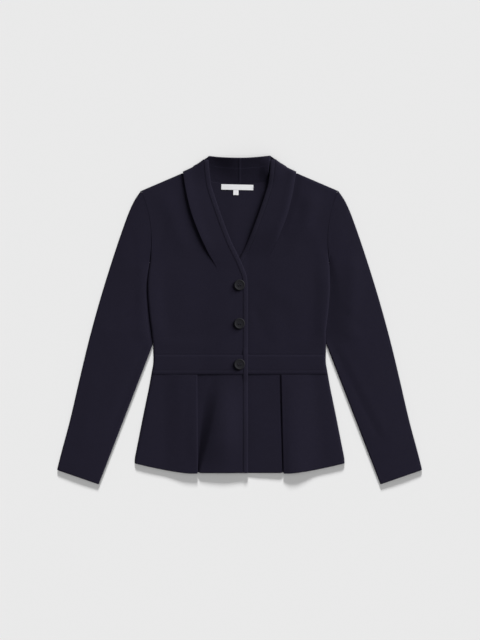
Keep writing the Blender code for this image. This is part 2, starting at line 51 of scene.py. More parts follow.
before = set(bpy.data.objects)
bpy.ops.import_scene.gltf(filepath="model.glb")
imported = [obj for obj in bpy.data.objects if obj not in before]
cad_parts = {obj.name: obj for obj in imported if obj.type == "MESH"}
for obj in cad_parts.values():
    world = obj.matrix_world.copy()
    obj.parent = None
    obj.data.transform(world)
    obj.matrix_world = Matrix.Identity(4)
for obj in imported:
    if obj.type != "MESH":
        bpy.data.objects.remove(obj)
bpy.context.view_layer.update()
BUTTON_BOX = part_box("button_1")

MM = 0.001

# Seams
SEAM = 0.16
BINDING_GAP = 0.2

# Heights above the front hem
HEM_UP = -0.5
BAND_LOW_UP = 201.5
BAND_HIGH_UP = 243.3
BREAK_UP = 430.0
BACK_NECK_UP = 592.5
COLLAR_TOP_UP = 645.5
COLLAR_CORNER_UP = 650.6
MIDDLE_UP = 313.0

# Distances from the centre line
NECK_POINT_OUT = 115.4
COLLAR_CORNER_OUT = 64.0

# Heights of upper faces
FRONT_TOP = 5.6
BAND_TOP = 7.0
BUST_PUFF = 1.2
COLLAR_RISE = 19.0
SIDE_ROLL = 5.0
SHOULDER_ROLL = 6.0
FRONT_SEAM_TOP = 2.75
BAND_SEAM_TOP = 3.75
PEPLUM_SEAM_TOP = 2.4
LAPEL_SEAM_LIFT = 1.3

# Overlap of the two fronts at the centre
LAP_FULL_OUT = 23.0
LAP_GONE_OUT = 85.0

# Lapel slash
SLASH_UNDERLAP = 16.0
SLASH_GAP = 0.15
SLASH_OPENING = 70.0

# Pleats
PLEAT_DEPTH = 26.0
PLEAT_FLOOR = 2.8
PLEAT_BEND_HIGH = 1.1
PLEAT_BEND_LOW = 1.0
PEPLUM_MID = 4.8

# Neck label and size tab
LABEL_WIDTH = 66.0
LABEL_HEIGHT = 11.3
LABEL_OUT = -4.7
LABEL_TILT = 1.2
TAB_WIDTH = 10.7
TAB_HEIGHT = 10.3
TAB_OUT = -7.4

Edge = namedtuple("Edge", "up out")
Half = namedtuple(
    "Half",
    (
        # Name of the wearer's side, and its direction from the centre line
        "name",
        "sign",
        # Rise of the front and of the waistband where the two fronts overlap
        "lap",
        "band_lap",
        # Height at which the slash under the lapel starts
        "slash_up",
        # Pleat's edge at the waistband and at the hem, and the valley, ridge, lift and crown beside it
        "pleat_high",
        "pleat_low",
        "valley",
        "ridge",
        "lift",
        "crown",
        # Lapel's curl and tilt, and the dip of the front beside it
        "curl",
        "tilt",
        "dip",
        # Rise of the lapel at the neck, slant of the binding there and height of the collar's side
        "neck",
        "slant",
        "side",
        # How far the body's side is drawn in, and how far from it the sleeve regains its height
        "nip",
        "tuck",
    ),
)
Ring = namedtuple("Ring", "share outer_up inner_up bow edge crown")
Turn = namedtuple("Turn", "radius top")
Button = namedtuple("Button", "name up turn")
Proud = namedtuple("Proud", "share rise")
Crease = namedtuple("Crease", "sign out_a up_a out_b up_b width rise")
Stretch = namedtuple("Stretch", "start start_run end end_run")
Arch = namedtuple("Arch", "along top")
Sun = namedtuple("Sun", "name strength angle azimuth elevation")

HALVES = (
    Half(
        name="right",
        sign=-1,
        lap=2.0,
        band_lap=2.2,
        slash_up=414.0,
        pleat_high=87.5,
        pleat_low=86.5,
        valley=22.0,
        ridge=9.8,
        lift=4.0,
        crown=0.0,
        curl=0.2,
        tilt=1.5,
        dip=0.8,
        neck=3.0,
        slant=0.0,
        side=6.0,
        nip=0.0,
        tuck=10.0,
    ),
    Half(
        name="left",
        sign=1,
        lap=-1.6,
        band_lap=-0.9,
        slash_up=441.0,
        pleat_high=85.5,
        pleat_low=90.5,
        valley=3.0,
        ridge=0.0,
        lift=0.0,
        crown=1.8,
        curl=1.0,
        tilt=0.0,
        dip=1.9,
        neck=6.0,
        slant=0.35,
        side=13.0,
        nip=3.6,
        tuck=34.0,
    ),
)

SIDE = (
    Edge(19.5, 215.7),
    Edge(108.7, 199.3),
    Edge(201.5, 181.4),
    Edge(231.7, 176.9),
    Edge(272.7, 178.7),
    Edge(330.0, 185.6),
    Edge(381.0, 189.1),
    Edge(432.6, 184.2),
)
SHOULDER_TIP = Edge(579.0, 201.5)
NECK_POINT = Edge(616.0, NECK_POINT_OUT)
ARMHOLE_BOW = 10.6

LAPEL = (
    Edge(243.0, 34.0),
    Edge(414.0, 45.7),
    Edge(453.0, 65.2),
    Edge(490.0, 82.6),
    Edge(537.0, 100.0),
    Edge(580.0, 110.3),
    Edge(618.0, 116.5),
)

NECKLINE = (
    Edge(0.0, -17.2),
    Edge(370.0, -17.2),
    Edge(398.0, -15.8),
    Edge(428.5, -5.5),
    Edge(475.6, 17.0),
    Edge(535.0, 39.6),
    Edge(568.0, 50.8),
    Edge(594.5, 58.5),
    Edge(641.7, 63.5),
    Edge(651.0, 64.0),
)

COLLAR_FOLD = (
    Edge(617.5, 118.5),
    Edge(627.5, 97.0),
    Edge(639.8, 78.5),
    Edge(650.6, 64.0),
)

SLEEVE_OUTER = (
    Edge(579.3, 202.3),
    Edge(559.7, 215.5),
    Edge(539.2, 225.4),
    Edge(518.7, 233.4),
    Edge(436.7, 261.4),
    Edge(354.7, 286.7),
    Edge(272.7, 309.2),
    Edge(190.7, 329.0),
    Edge(108.7, 348.0),
    Edge(26.7, 369.8),
    Edge(6.1, 374.8),
)
SLEEVE_INNER_LOW = Edge(-23.8, 289.1)
SLEEVE_INNER_HIGH = Edge(252.0, 182.4)

SLEEVE_RINGS = (
    Ring(0.00, 579.3, 432.0, 10.7, 5.6, 5.6),
    Ring(0.08, 556.0, 416.0, 6.0, 5.2, 5.9),
    Ring(0.18, 518.0, 394.0, 2.0, 5.0, 6.2),
    Ring(0.30, 462.0, 362.0, 0.0, 4.8, 6.4),
    Ring(0.42, 400.0, 322.0, 0.0, 4.8, 6.4),
    Ring(0.56, 320.0, 268.0, 0.0, 5.0, 6.4),
    Ring(0.70, 232.0, 196.0, 0.0, 5.2, 6.4),
    Ring(0.85, 120.0, 88.0, 0.0, 5.2, 6.2),
    Ring(1.00, 6.1, -23.8, 0.0, 5.0, 5.6),
)

BUTTON_TURNS = (
    Turn(0.0, 0.0),
    Turn(8.6, 0.0),
    Turn(10.2, 0.4),
    Turn(11.0, 1.2),
    Turn(11.2, 1.9),
    Turn(11.0, 2.6),
    Turn(10.4, 3.1),
    Turn(9.7, 3.2),
    Turn(9.1, 3.1),
    Turn(8.5, 2.85),
    Turn(7.8, 2.65),
    Turn(5.2, 2.55),
    Turn(0.0, 2.5),
)
BUTTON_HOLE_RADIUS = 1.1
BUTTON_HOLE_SPREAD = 2.1

BUTTONS = (
    Button("button_1", 385.4, 4.0),
    Button("button_2", 306.4, -7.0),
    Button("button_3", 223.0, 10.0),
)

# Soft troughs and ridges of the cloth
FRONT_CREASES = (
    Crease(-1, 40.0, 388.0, 96.0, 356.0, 12.0, -0.7),
    Crease(-1, 44.0, 376.0, 120.0, 318.0, 15.0, 0.6),
    Crease(-1, 30.0, 302.0, 118.0, 276.0, 11.0, -0.6),
    Crease(-1, 62.0, 262.0, 168.0, 268.0, 9.0, 0.6),
    Crease(-1, 150.0, 520.0, 166.0, 452.0, 11.0, -0.7),
    Crease(-1, 128.0, 430.0, 176.0, 410.0, 14.0, 0.5),
    Crease(1, 34.0, 330.0, 60.0, 268.0, 10.0, -0.8),
    Crease(1, 46.0, 392.0, 108.0, 350.0, 14.0, 0.6),
    Crease(1, 92.0, 330.0, 104.0, 250.0, 16.0, -0.7),
    Crease(1, 120.0, 560.0, 128.0, 470.0, 12.0, -0.7),
    Crease(1, 150.0, 500.0, 170.0, 440.0, 12.0, 0.6),
    Crease(1, 110.0, 262.0, 166.0, 270.0, 8.0, 0.5),
    Crease(1, 169.0, 445.0, 171.0, 290.0, 9.0, 1.0),
)
SLEEVE_CREASES = (
    Crease(1, 234.0, 420.0, 226.0, 290.0, 18.0, 3.0),
    Crease(-1, 201.0, 415.0, 199.0, 290.0, 13.0, 2.0),
    Crease(1, 190.0, 262.0, 281.0, 81.0, 8.0, -1.0),
    Crease(1, 214.0, 250.0, 300.0, 84.0, 9.0, 0.7),
    Crease(1, 262.0, 330.0, 238.0, 246.0, 14.0, 0.6),
    Crease(1, 214.0, 330.0, 250.0, 296.0, 8.0, -0.6),
    Crease(-1, 196.0, 252.0, 258.0, 96.0, 8.0, -0.8),
    Crease(-1, 214.0, 356.0, 262.0, 312.0, 9.0, -0.7),
    Crease(-1, 220.0, 300.0, 272.0, 282.0, 10.0, 0.6),
    Crease(-1, 300.0, 190.0, 322.0, 70.0, 13.0, 0.6),
    Crease(-1, 222.0, 492.0, 214.0, 420.0, 9.0, -0.6),
    Crease(1, 224.0, 500.0, 212.0, 424.0, 10.0, -0.6),
)
PEPLUM_CREASES = (
    Crease(-1, 150.0, 190.0, 152.0, 40.0, 13.0, -0.4),
    Crease(-1, 118.0, 150.0, 112.0, 0.0, 12.0, 0.5),
    Crease(-1, 182.0, 120.0, 192.0, 20.0, 10.0, 0.5),
    Crease(1, 106.0, 170.0, 112.0, 0.0, 14.0, 0.8),
    Crease(1, 158.0, 180.0, 172.0, 30.0, 14.0, -1.0),
    Crease(1, 44.0, 150.0, 40.0, 0.0, 12.0, 0.6),
    Crease(-1, 4.0, 150.0, 2.0, 0.0, 12.0, -0.4),
)
BACK_CREASES = (
    Crease(-1, 0.0, 590.0, 0.0, 470.0, 26.0, 1.1),
    Crease(1, 0.0, 590.0, 0.0, 470.0, 26.0, 1.1),
    Crease(-1, 16.0, 580.0, 10.0, 470.0, 12.0, 0.5),
    Crease(1, 26.0, 560.0, 8.0, 440.0, 9.0, 0.4),
)


# Settings that a user may change

class JacketSizes(bpy.types.PropertyGroup):
    cloth_wall: FloatProperty(
        name="Cloth",
        description="Thickness of the knit",
        default=0.0016,
        unit="LENGTH",
    )
    sleeve_wall: FloatProperty(
        name="Sleeve cloth",
        description="Thickness of the sleeves' knit",
        default=0.0011,
        unit="LENGTH",
    )
    band_wall: FloatProperty(
        name="Waistband cloth",
        description="Thickness of the doubled waistband",
        default=0.0024,
        unit="LENGTH",
    )
    lapel_rise: FloatProperty(
        name="Lapel rise",
        description="Height of the lapel above the front under it",
        default=0.005,
        unit="LENGTH",
    )
    lapel_curl: FloatProperty(
        name="Lapel curl",
        description="Drop of the lapel's outer edge",
        default=0.0032,
        unit="LENGTH",
    )
    binding_width: FloatProperty(
        name="Binding width",
        description="Width of the strip along the front edge",
        default=0.0098,
        unit="LENGTH",
    )
    binding_proud: FloatProperty(
        name="Binding height",
        description="Height of the strip above the front",
        default=0.0006,
        unit="LENGTH",
    )
    crease: FloatProperty(
        name="Creases",
        description="Depth of the creases against the drawn ones",
        default=0.6,
        subtype="FACTOR",
    )
    wale: FloatProperty(
        name="Wale",
        description="Width of one column of stitches",
        default=0.0015,
        unit="LENGTH",
    )
    course: FloatProperty(
        name="Course",
        description="Height of one row of stitches",
        default=0.0011,
        unit="LENGTH",
    )
    stitch: FloatProperty(
        name="Stitch",
        description="Length of one stitch of the waistband's seam",
        default=0.0026,
        unit="LENGTH",
    )
    thread_radius: FloatProperty(
        name="Thread",
        description="Radius of the sewing thread",
        default=0.0003,
        unit="LENGTH",
    )
    button_radius: FloatProperty(
        name="Button radius",
        description="Radius of a button, from its solid",
        default=(BUTTON_BOX[1][0] - BUTTON_BOX[0][0]) / 2.0,
        unit="LENGTH",
    )


class JacketColours(bpy.types.PropertyGroup):
    knit: FloatVectorProperty(
        name="Knit",
        description="Yarn of the body",
        subtype="COLOR",
        default=(0.0166, 0.0147, 0.0276),
    )
    # Painted shade: the knit's colour where the stitches dip between each other
    knit_stitch_shade: FloatVectorProperty(
        name="Knit, painted shade",
        description="Painted shade between the stitches",
        subtype="COLOR",
        default=(0.0111, 0.0097, 0.0190),
    )
    binding: FloatVectorProperty(
        name="Binding",
        description="Yarn of the edge strip",
        subtype="COLOR",
        default=(0.0176, 0.0156, 0.0290),
    )
    button: FloatVectorProperty(
        name="Button",
        description="Body of a button",
        subtype="COLOR",
        default=(0.0098, 0.0095, 0.0126),
    )
    button_light: FloatVectorProperty(
        name="Button, light",
        description="Streaks of a button",
        subtype="COLOR",
        default=(0.0190, 0.0186, 0.0222),
    )
    thread: FloatVectorProperty(
        name="Thread",
        description="Sewing thread",
        subtype="COLOR",
        default=(0.0100, 0.0092, 0.0160),
    )
    label: FloatVectorProperty(
        name="Label",
        description="Neck label and size tab",
        subtype="COLOR",
        default=(0.90, 0.90, 0.92),
    )
    floor: FloatVectorProperty(
        name="Floor",
        description="Surface that the jacket lies on",
        subtype="COLOR",
        default=(0.85, 0.85, 0.85),
    )


def size(name):
    """A size of the settings, in millimetres."""
    return getattr(bpy.context.scene.jacket_sizes, name) / MM


def colour(name):
    return tuple(getattr(bpy.context.scene.jacket_colours, name))


# Small sums

def clamp(value):
    return max(0.0, min(1.0, value))


def smooth(value):
    share = clamp(value)
    return share * share * (3.0 - 2.0 * share)


def ramp(value, start, run):
    """From 0 at a start to 1 where the run ends, with soft ends."""
    return smooth((value - start) / run)


def within(stretch, up):
    """1 inside a stretch of heights and 0 outside it, with soft ends."""
    return ramp(up, stretch.start, stretch.start_run) * (1.0 - ramp(up, stretch.end, stretch.end_run))


def hill(offset, width):
    """1 at the middle of a soft rise, and less on both sides of it."""
    return math.exp(-((offset / width) ** 2))


def mix(low, high, share):
    return low + (high - low) * share


def spread(low, high, count):
    return [mix(low, high, step / (count - 1)) for step in range(count)]


def measured(line):
    """Each point of a line with its distance from the first one, along the line."""
    run = 0.0
    before = line[0]
    for point in line:
        run += math.dist(before, point)
        before = point
        yield point, run


class Line:
    """A smooth line through the rows of a table, read by one of its columns."""

    def __init__(self, rows, key, column):
        pairs = sorted((getattr(row, key), getattr(row, column)) for row in rows)
        self.keys = [pair[0] for pair in pairs]
        self.values = [pair[1] for pair in pairs]
        last = len(pairs) - 1
        grades = []
        for step in range(last):
            rise = self.values[step + 1] - self.values[step]
            grades.append(rise / (self.keys[step + 1] - self.keys[step]))
        self.slopes = [grades[0]]
        for step in range(1, last):
            before, after = grades[step - 1], grades[step]
            same_way = before * after > 0.0
            self.slopes.append(2.0 * before * after / (before + after) if same_way else 0.0)
        self.slopes.append(grades[-1])

    def at(self, key):
        if key <= self.keys[0]:
            return self.values[0]
        if key >= self.keys[-1]:
            return self.values[-1]
        step = 0
        while key > self.keys[step + 1]:
            step += 1
        width = self.keys[step + 1] - self.keys[step]
        share = (key - self.keys[step]) / width
        rest = 1.0 - share
        return (
            self.values[step] * (1.0 + 2.0 * share) * rest * rest
            + self.values[step + 1] * (1.0 + 2.0 * rest) * share * share
            + self.slopes[step] * width * share * rest * rest
            - self.slopes[step + 1] * width * rest * share * share
        )


SIDE_LINE = Line(SIDE, "up", "out")
LAPEL_LINE = Line(LAPEL, "up", "out")
NECKLINE_LINE = Line(NECKLINE, "up", "out")
COLLAR_FOLD_LINE = Line(COLLAR_FOLD, "out", "up")
SLEEVE_OUTER_LINE = Line(SLEEVE_OUTER, "up", "out")
SLEEVE_OUTER_UP = Line(SLEEVE_RINGS, "share", "outer_up")
SLEEVE_INNER_UP = Line(SLEEVE_RINGS, "share", "inner_up")
SLEEVE_BOW = Line(SLEEVE_RINGS, "share", "bow")
SLEEVE_EDGE = Line(SLEEVE_RINGS, "share", "edge")
SLEEVE_CROWN = Line(SLEEVE_RINGS, "share", "crown")


# Outlines

UNDER_LAPEL_DROP = 1.6
UNDER_LAPEL_RUN = 8.0
GRADE_STEP = 2.0
SIDE_HEM_LOW_UP = -1.5
SIDE_HEM_RISE = 21.0
SIDE_HEM_START_OUT = 100.0
SIDE_HEM_RUN = 115.7
SIDE_HEM_POWER = 1.4
SLEEVE_TUCK = Stretch(256.0, 24.0, 412.0, 26.0)
SIDE_NIP = Stretch(256.0, 40.0, 385.0, 50.0)
SLEEVE_GAP = 0.3
SLEEVE_UNDER_SIDE = 1.6
MEET_ROUNDS = 10


def side_out(up):
    under = SIDE[-1]
    if up <= under.up:
        return SIDE_LINE.at(up)
    share = clamp((up - under.up) / (SHOULDER_TIP.up - under.up))
    chord = mix(under.out, SHOULDER_TIP.out, share)
    return chord - 4.0 * ARMHOLE_BOW * share * (1.0 - share)


def back_neck_up(out):
    share = clamp(abs(out) / NECK_POINT.out)
    return mix(BACK_NECK_UP, NECK_POINT.up, share * share)


def shoulder_up(out):
    """Shoulder line, which goes on under the lapel just short of the back neck seam."""
    if out < NECK_POINT.out:
        return back_neck_up(out) - UNDER_LAPEL_DROP * smooth((NECK_POINT.out - out) / UNDER_LAPEL_RUN)
    share = clamp((SHOULDER_TIP.out - out) / (SHOULDER_TIP.out - NECK_POINT.out))
    return mix(SHOULDER_TIP.up, NECK_POINT.up, share)


def back_top_up(out):
    if abs(out) >= NECK_POINT.out:
        return shoulder_up(abs(out))
    return back_neck_up(out)


def front_inner_out(up):
    """Edge of a front panel, beside its binding."""
    rise = NECKLINE_LINE.at(up + GRADE_STEP) - NECKLINE_LINE.at(up - GRADE_STEP)
    grade = rise / (2.0 * GRADE_STEP)
    width = size("binding_width") + BINDING_GAP
    return NECKLINE_LINE.at(up) + width * math.sqrt(1.0 + grade * grade)


def side_hem_up(out):
    share = clamp((out - SIDE_HEM_START_OUT) / SIDE_HEM_RUN)
    return SIDE_HEM_LOW_UP + SIDE_HEM_RISE * share ** SIDE_HEM_POWER


def beside_sleeve(up):
    """How far the body's side lies over the sleeve at a height, from 0 to 1."""
    return within(SLEEVE_TUCK, up)


def nipped(half, up):
    """How far a body's side is drawn in beside the sleeve."""
    return half.nip * within(SIDE_NIP, up)


def sleeve_inner_out(up):
    low, high = SLEEVE_INNER_LOW, SLEEVE_INNER_HIGH
    line = mix(low.out, high.out, (up - low.up) / (high.up - low.up))
    return max(line, side_out(up) + mix(SLEEVE_GAP, -SLEEVE_UNDER_SIDE, beside_sleeve(up)))


def meet(out_at, up_at, up):
    """Height at which a column of a panel meets the line that ends it."""
    for _ in range(MEET_ROUNDS):
        up = up_at(out_at(up))
    return up


# Heights of upper faces

LAP_TROUGH_DEPTH = 0.6
LAP_TROUGH_OUT = 16.0
LAP_TROUGH_WIDTH = 4.5
BREAK_RUN = 60.0
BUST_OUT = 105.0
BUST_WIDTH = 50.0
BUST_UP = 385.0
BUST_HEIGHT = 60.0
SIDE_SWELL = Stretch(246.0, 60.0, 385.0, 60.0)
SIDE_SWELL_RISE = 2.4
SIDE_SWELL_INSET = 40.0
SIDE_SWELL_RUN = 34.0
FLAP_DIP_RUN = 15.0
FLAP_SWELL = 1.7
FLAP_SWELL_ASIDE = 42.0
FLAP_SWELL_WIDTH = 20.0
FLAP_SWELL_END_UP = 550.0
FLAP_SWELL_END_RUN = 40.0
NECK_RISE_UP = 580.0
NECK_RISE_RUN = 62.0
NECK_ROLL_WIDTH = 16.0
LAPEL_INNER_FALL = 0.25
LAPEL_NECK_FALL = 0.35
LAPEL_NECK_UP = 540.0
LAPEL_NECK_RUN = 70.0
LAPEL_CREST = 0.8
LAPEL_CREST_SHARE = 0.2
LAPEL_CREST_WIDTH = 0.17
LAPEL_TILT_REACH = 30.0
LAPEL_CURL_REACH = 9.0
COLLAR_SIDE_EVEN = 0.2
COLLAR_SIDE_POWER = 3.2


def creased(creases, sign, out, up):
    total = 0.0
    for crease in creases:
        if crease.sign != sign:
            continue
        across = crease.out_b - crease.out_a
        along = crease.up_b - crease.up_a
        length = across * across + along * along
        share = clamp(((out - crease.out_a) * across + (up - crease.up_a) * along) / length)
        aside = out - crease.out_a - across * share
        above = up - crease.up_a - along * share
        total += crease.rise * hill(math.hypot(aside, above), crease.width)
    return total * bpy.context.scene.jacket_sizes.crease


def back_creased(out, up):
    return creased(BACK_CREASES, math.copysign(1, out), abs(out), up)


def lapped(out):
    return 1.0 - ramp(out, LAP_FULL_OUT, LAP_GONE_OUT - LAP_FULL_OUT)


def lap_trough(half, out):
    """Dip of the under front along the edge of the upper one."""
    if half.lap > 0.0:
        return 0.0
    return -LAP_TROUGH_DEPTH * hill(out - LAP_TROUGH_OUT, LAP_TROUGH_WIDTH)


def front_top(half, out, up):
    lap = (half.lap * lapped(out) + lap_trough(half, out)) * (1.0 - ramp(up, BREAK_UP, BREAK_RUN))
    puff = BUST_PUFF * hill(out - BUST_OUT, BUST_WIDTH) * hill(up - BUST_UP, BUST_HEIGHT)
    swell = SIDE_SWELL_RISE * within(SIDE_SWELL, up)
    swell *= ramp(out, side_out(up) - SIDE_SWELL_INSET, SIDE_SWELL_RUN)
    return FRONT_TOP + lap + puff + swell + creased(FRONT_CREASES, half.sign, out, up)


def opening(half, up):
    return ramp(up, half.slash_up, SLASH_OPENING)


def shoulder_flap_top(half, out, up):
    """Upper face of a front beside the lapel: low at the lapel's edge and full further out."""
    aside = out - LAPEL_LINE.at(up)
    near = 1.0 - smooth(aside / FLAP_DIP_RUN)
    swell = FLAP_SWELL * half.dip * hill(aside - FLAP_SWELL_ASIDE, FLAP_SWELL_WIDTH)
    swell *= 1.0 - ramp(up, FLAP_SWELL_END_UP, FLAP_SWELL_END_RUN)
    return front_top(half, out, up) + opening(half, up) * (swell - half.dip * near)


def neck_rise(up):
    """From 0 below the neck to 1 at the top of the collar."""
    return ramp(up, NECK_RISE_UP, NECK_RISE_RUN)


def lapel_top(half, out, up):
    """Upper face of a lapel: highest a little inside its outer edge, which curls down."""
    outer = LAPEL_LINE.at(up)
    inner = front_inner_out(up)
    across = clamp((outer - out) / (outer - inner))
    part = opening(half, up)
    rise = size("lapel_rise") * part * (1.0 - LAPEL_INNER_FALL * across)
    rise *= 1.0 - LAPEL_NECK_FALL * ramp(up, LAPEL_NECK_UP, LAPEL_NECK_RUN)
    crest = LAPEL_CREST * half.curl * part * hill(across - LAPEL_CREST_SHARE, LAPEL_CREST_WIDTH)
    tilt = half.tilt * part * clamp(1.0 - (outer - out) / LAPEL_TILT_REACH) ** 2
    near = clamp(1.0 - (outer - out) / LAPEL_CURL_REACH)
    curl = size("lapel_curl") * half.curl * part * part * (1.0 - math.sqrt(1.0 - near * near))
    neck = half.neck * part * neck_rise(up) * hill(out - inner, NECK_ROLL_WIDTH)
    return front_top(half, out, up) + rise + crest + tilt + neck - curl


def collar_side_top(half, high):
    return size("cloth_wall") + half.side * mix(high ** COLLAR_SIDE_POWER, high, COLLAR_SIDE_EVEN)


def lapel_seam_top(half, out):
    """Height at which a lapel ends at the collar's fold."""
    high = clamp((NECK_POINT_OUT - out) / (NECK_POINT_OUT - COLLAR_CORNER_OUT))
    return collar_side_top(half, high) + LAPEL_SEAM_LIFT


# Meshes

CLOTH_LAYER = "cloth"
MERGE = 1e-6
FINE_MERGE = 1e-7
STRAND_SIDES = 8
STRAND_END = 0.35
STRAND_ROUND = 6.0


def place(sign, out, up, top):
    return Vector((sign * out, up - MIDDLE_UP, top)) * MM


def laid(sign, out, up, top):
    """A point of a panel with its two coordinates on the flat cloth."""
    return place(sign, out, up, top), sign * (out - top) * MM, (up - top) * MM


def new_work():
    """A mesh to work on, with a layer for coordinates on the flat cloth."""
    work = bmesh.new()
    return work, work.loops.layers.uv.new(CLOTH_LAYER)


def add_grid(work, layer, points):
    """Adds a grid of faces, one row of points after another, to a mesh that is being made."""
    rows = len(points)
    columns = len(points[0])
    made = bmesh.ops.create_grid(work, x_segments=columns - 1, y_segments=rows - 1, size=0.5)
    cloth = {}
    for vert in made["verts"]:
        column = round((vert.co.x + 0.5) * (columns - 1))
        row = round((vert.co.y + 0.5) * (rows - 1))
        spot, across, along = points[row][column]
        vert.co = spot
        cloth[vert] = (across, along)
    for face in work.faces:
        if face.verts[0] in cloth:
            for loop in face.loops:
                loop[layer].uv = cloth[loop.vert]


def add_strand(work, layer, path, radius, sides=STRAND_SIDES):
    """Adds a round thread with tapered ends along a path of points in metres."""
    rings = []
    length = 0.0
    for step, spot in enumerate(path):
        before = path[max(step - 1, 0)]
        after = path[min(step + 1, len(path) - 1)]
        way = (after - before).normalized()
        aside = way.cross(Vector((0.0, 0.0, 1.0)))
        if aside.length < 0.1:
            aside = way.cross(Vector((1.0, 0.0, 0.0)))
        aside.normalize()
        above = aside.cross(way)
        length += (spot - before).length
        thick = radius * (STRAND_END if step in (0, len(path) - 1) else 1.0)
        ring = []
        for side in range(sides + 1):
            angle = 2.0 * math.pi * side / sides
            point = spot + (aside * math.cos(angle) + above * math.sin(angle)) * thick
            ring.append((point, side / sides * radius * STRAND_ROUND, length))
        rings.append(ring)
    add_grid(work, layer, rings)


def face_up(work):
    total = sum(face.normal.z * face.calc_area() for face in work.faces)
    if total < 0.0:
        bmesh.ops.reverse_faces(work, faces=work.faces[:])


def face_out(work):
    middle = sum(face.calc_center_median().z for face in work.faces) / len(work.faces)
    total = 0.0
    for face in work.faces:
        total += face.normal.z * (face.calc_center_median().z - middle) * face.calc_area()
    if total < 0.0:
        bmesh.ops.reverse_faces(work, faces=work.faces[:])


def finish_piece(name, work, material, node=None):
    mesh = bpy.data.meshes.new(name)
    work.to_mesh(mesh)
    work.free()
    mesh.shade_smooth()
    mesh.materials.append(material)
    piece = bpy.data.objects.new(name, mesh)
    bpy.context.scene.collection.objects.link(piece)
    lit_collection().objects.link(piece)
    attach(piece, "root")
    if node:
        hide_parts(node)
    return piece


def finish_threads(name, work, material):
    """Closes the ends of the threads and makes one piece of them."""
    bmesh.ops.remove_doubles(work, verts=work.verts[:], dist=FINE_MERGE)
    bmesh.ops.holes_fill(work, edges=work.edges[:], sides=0)
    bmesh.ops.recalc_face_normals(work, faces=work.faces[:])
    return finish_piece(name, work, material)


def soften(piece):
    soft = piece.modifiers.new("soft edge", "SUBSURF")
    soft.levels = 1
    soft.render_levels = 1
    return piece


def thicken(piece, wall, offset=-1.0, sewn=False, even=True):
    """Gives a sheet its wall and rounds the wall's edges, unless they are sewn flush to the next piece."""
    solid = piece.modifiers.new("wall", "SOLIDIFY")
    solid.thickness = wall * MM
    solid.offset = offset
    solid.use_even_offset = even
    solid.use_quality_normals = True
    if sewn:
        solid.edge_crease_outer = 1.0
        solid.edge_crease_inner = 1.0
        solid.edge_crease_rim = 1.0
    return soften(piece)


def panel(name, grids, material, wall, node=None, offset=-1.0, sewn=False):
    work, layer = new_work()
    for points in grids:
        add_grid(work, layer, points)
    bmesh.ops.remove_doubles(work, verts=work.verts[:], dist=MERGE)
    work.normal_update()
    face_up(work)
    return thicken(finish_piece(name, work, material, node), wall, offset, sewn)


def tube(name, rings, material, node, wall=0.0):
    """A tube through closed rings of points; with no wall its ends are filled."""
    work, layer = new_work()
    add_grid(work, layer, rings)
    bmesh.ops.remove_doubles(work, verts=work.verts[:], dist=MERGE)
    if wall == 0.0:
        bmesh.ops.holes_fill(work, edges=work.edges[:], sides=0)
    bmesh.ops.recalc_face_normals(work, faces=work.faces[:])
    work.normal_update()
    face_out(work)
    piece = finish_piece(name, work, material, node)
    if wall > 0.0:
        return thicken(piece, wall, even=False)
    return soften(piece)


def lit_collection():
    """The pieces that the lamp over the jacket lights."""
    name = "jacket_pieces"
    found = bpy.data.collections.get(name)
    return found if found else bpy.data.collections.new(name)


# Shader groups

SLACK_SCALE = 160.0
SLACK_ACROSS = 0.35
SLACK_ALONG = 0.5
LEG_SLOPE = 1.3
STITCH_FLOOR = 0.55
STITCH_CHANCE = 0.25
CLOUD_SCALE = 11.0
FUZZ_SCALE = 900.0
SLUB_SCALE = 700.0


def socket_or_number(tree, node, key, value):
    if isinstance(value, bpy.types.NodeSocket):
        tree.links.new(value, node.inputs[key])
    else:
        node.inputs[key].default_value = value


def sum_node(tree, kind, first, second=None, third=None):
    node = tree.nodes.new("ShaderNodeMath")
    node.operation = kind
    for index, value in enumerate((first, second, third)):
        if value is not None:
            socket_or_number(tree, node, index, value)
    return node.outputs[0]


def blend_node(tree, share, first, second):
    node = tree.nodes.new("ShaderNodeMix")
    node.data_type = "RGBA"
    socket_or_number(tree, node, 0, share)
    socket_or_number(tree, node, 6, (*first, 1.0))
    socket_or_number(tree, node, 7, (*second, 1.0))
    return node.outputs[2]


def noise_node(tree, place_socket, scale, detail=2.0):
    node = tree.nodes.new("ShaderNodeTexNoise")
    tree.links.new(place_socket, node.inputs["Vector"])
    node.inputs["Scale"].default_value = scale
    node.inputs["Detail"].default_value = detail
    return node.outputs[0]


def range_node(tree, value, low, high, to_low, to_high):
    node = tree.nodes.new("ShaderNodeMapRange")
    tree.links.new(value, node.inputs["Value"])
    node.inputs["From Min"].default_value = low
    node.inputs["From Max"].default_value = high
    node.inputs["To Min"].default_value = to_low
    node.inputs["To Max"].default_value = to_high
    return node.outputs[0]


def new_group(name, inputs, outputs):
    tree = bpy.data.node_groups.new(name, "ShaderNodeTree")
    for label, kind in inputs:
        tree.interface.new_socket(name=label, in_out="INPUT", socket_type=kind)
    for label in outputs:
        tree.interface.new_socket(name=label, in_out="OUTPUT", socket_type="NodeSocketFloat")
    start = tree.nodes.new("NodeGroupInput")
    end = tree.nodes.new("NodeGroupOutput")
    return tree, start, end


def split_node(tree, coordinates):
    node = tree.nodes.new("ShaderNodeSeparateXYZ")
    tree.links.new(coordinates, node.inputs[0])
    return node.outputs["X"], node.outputs["Y"]


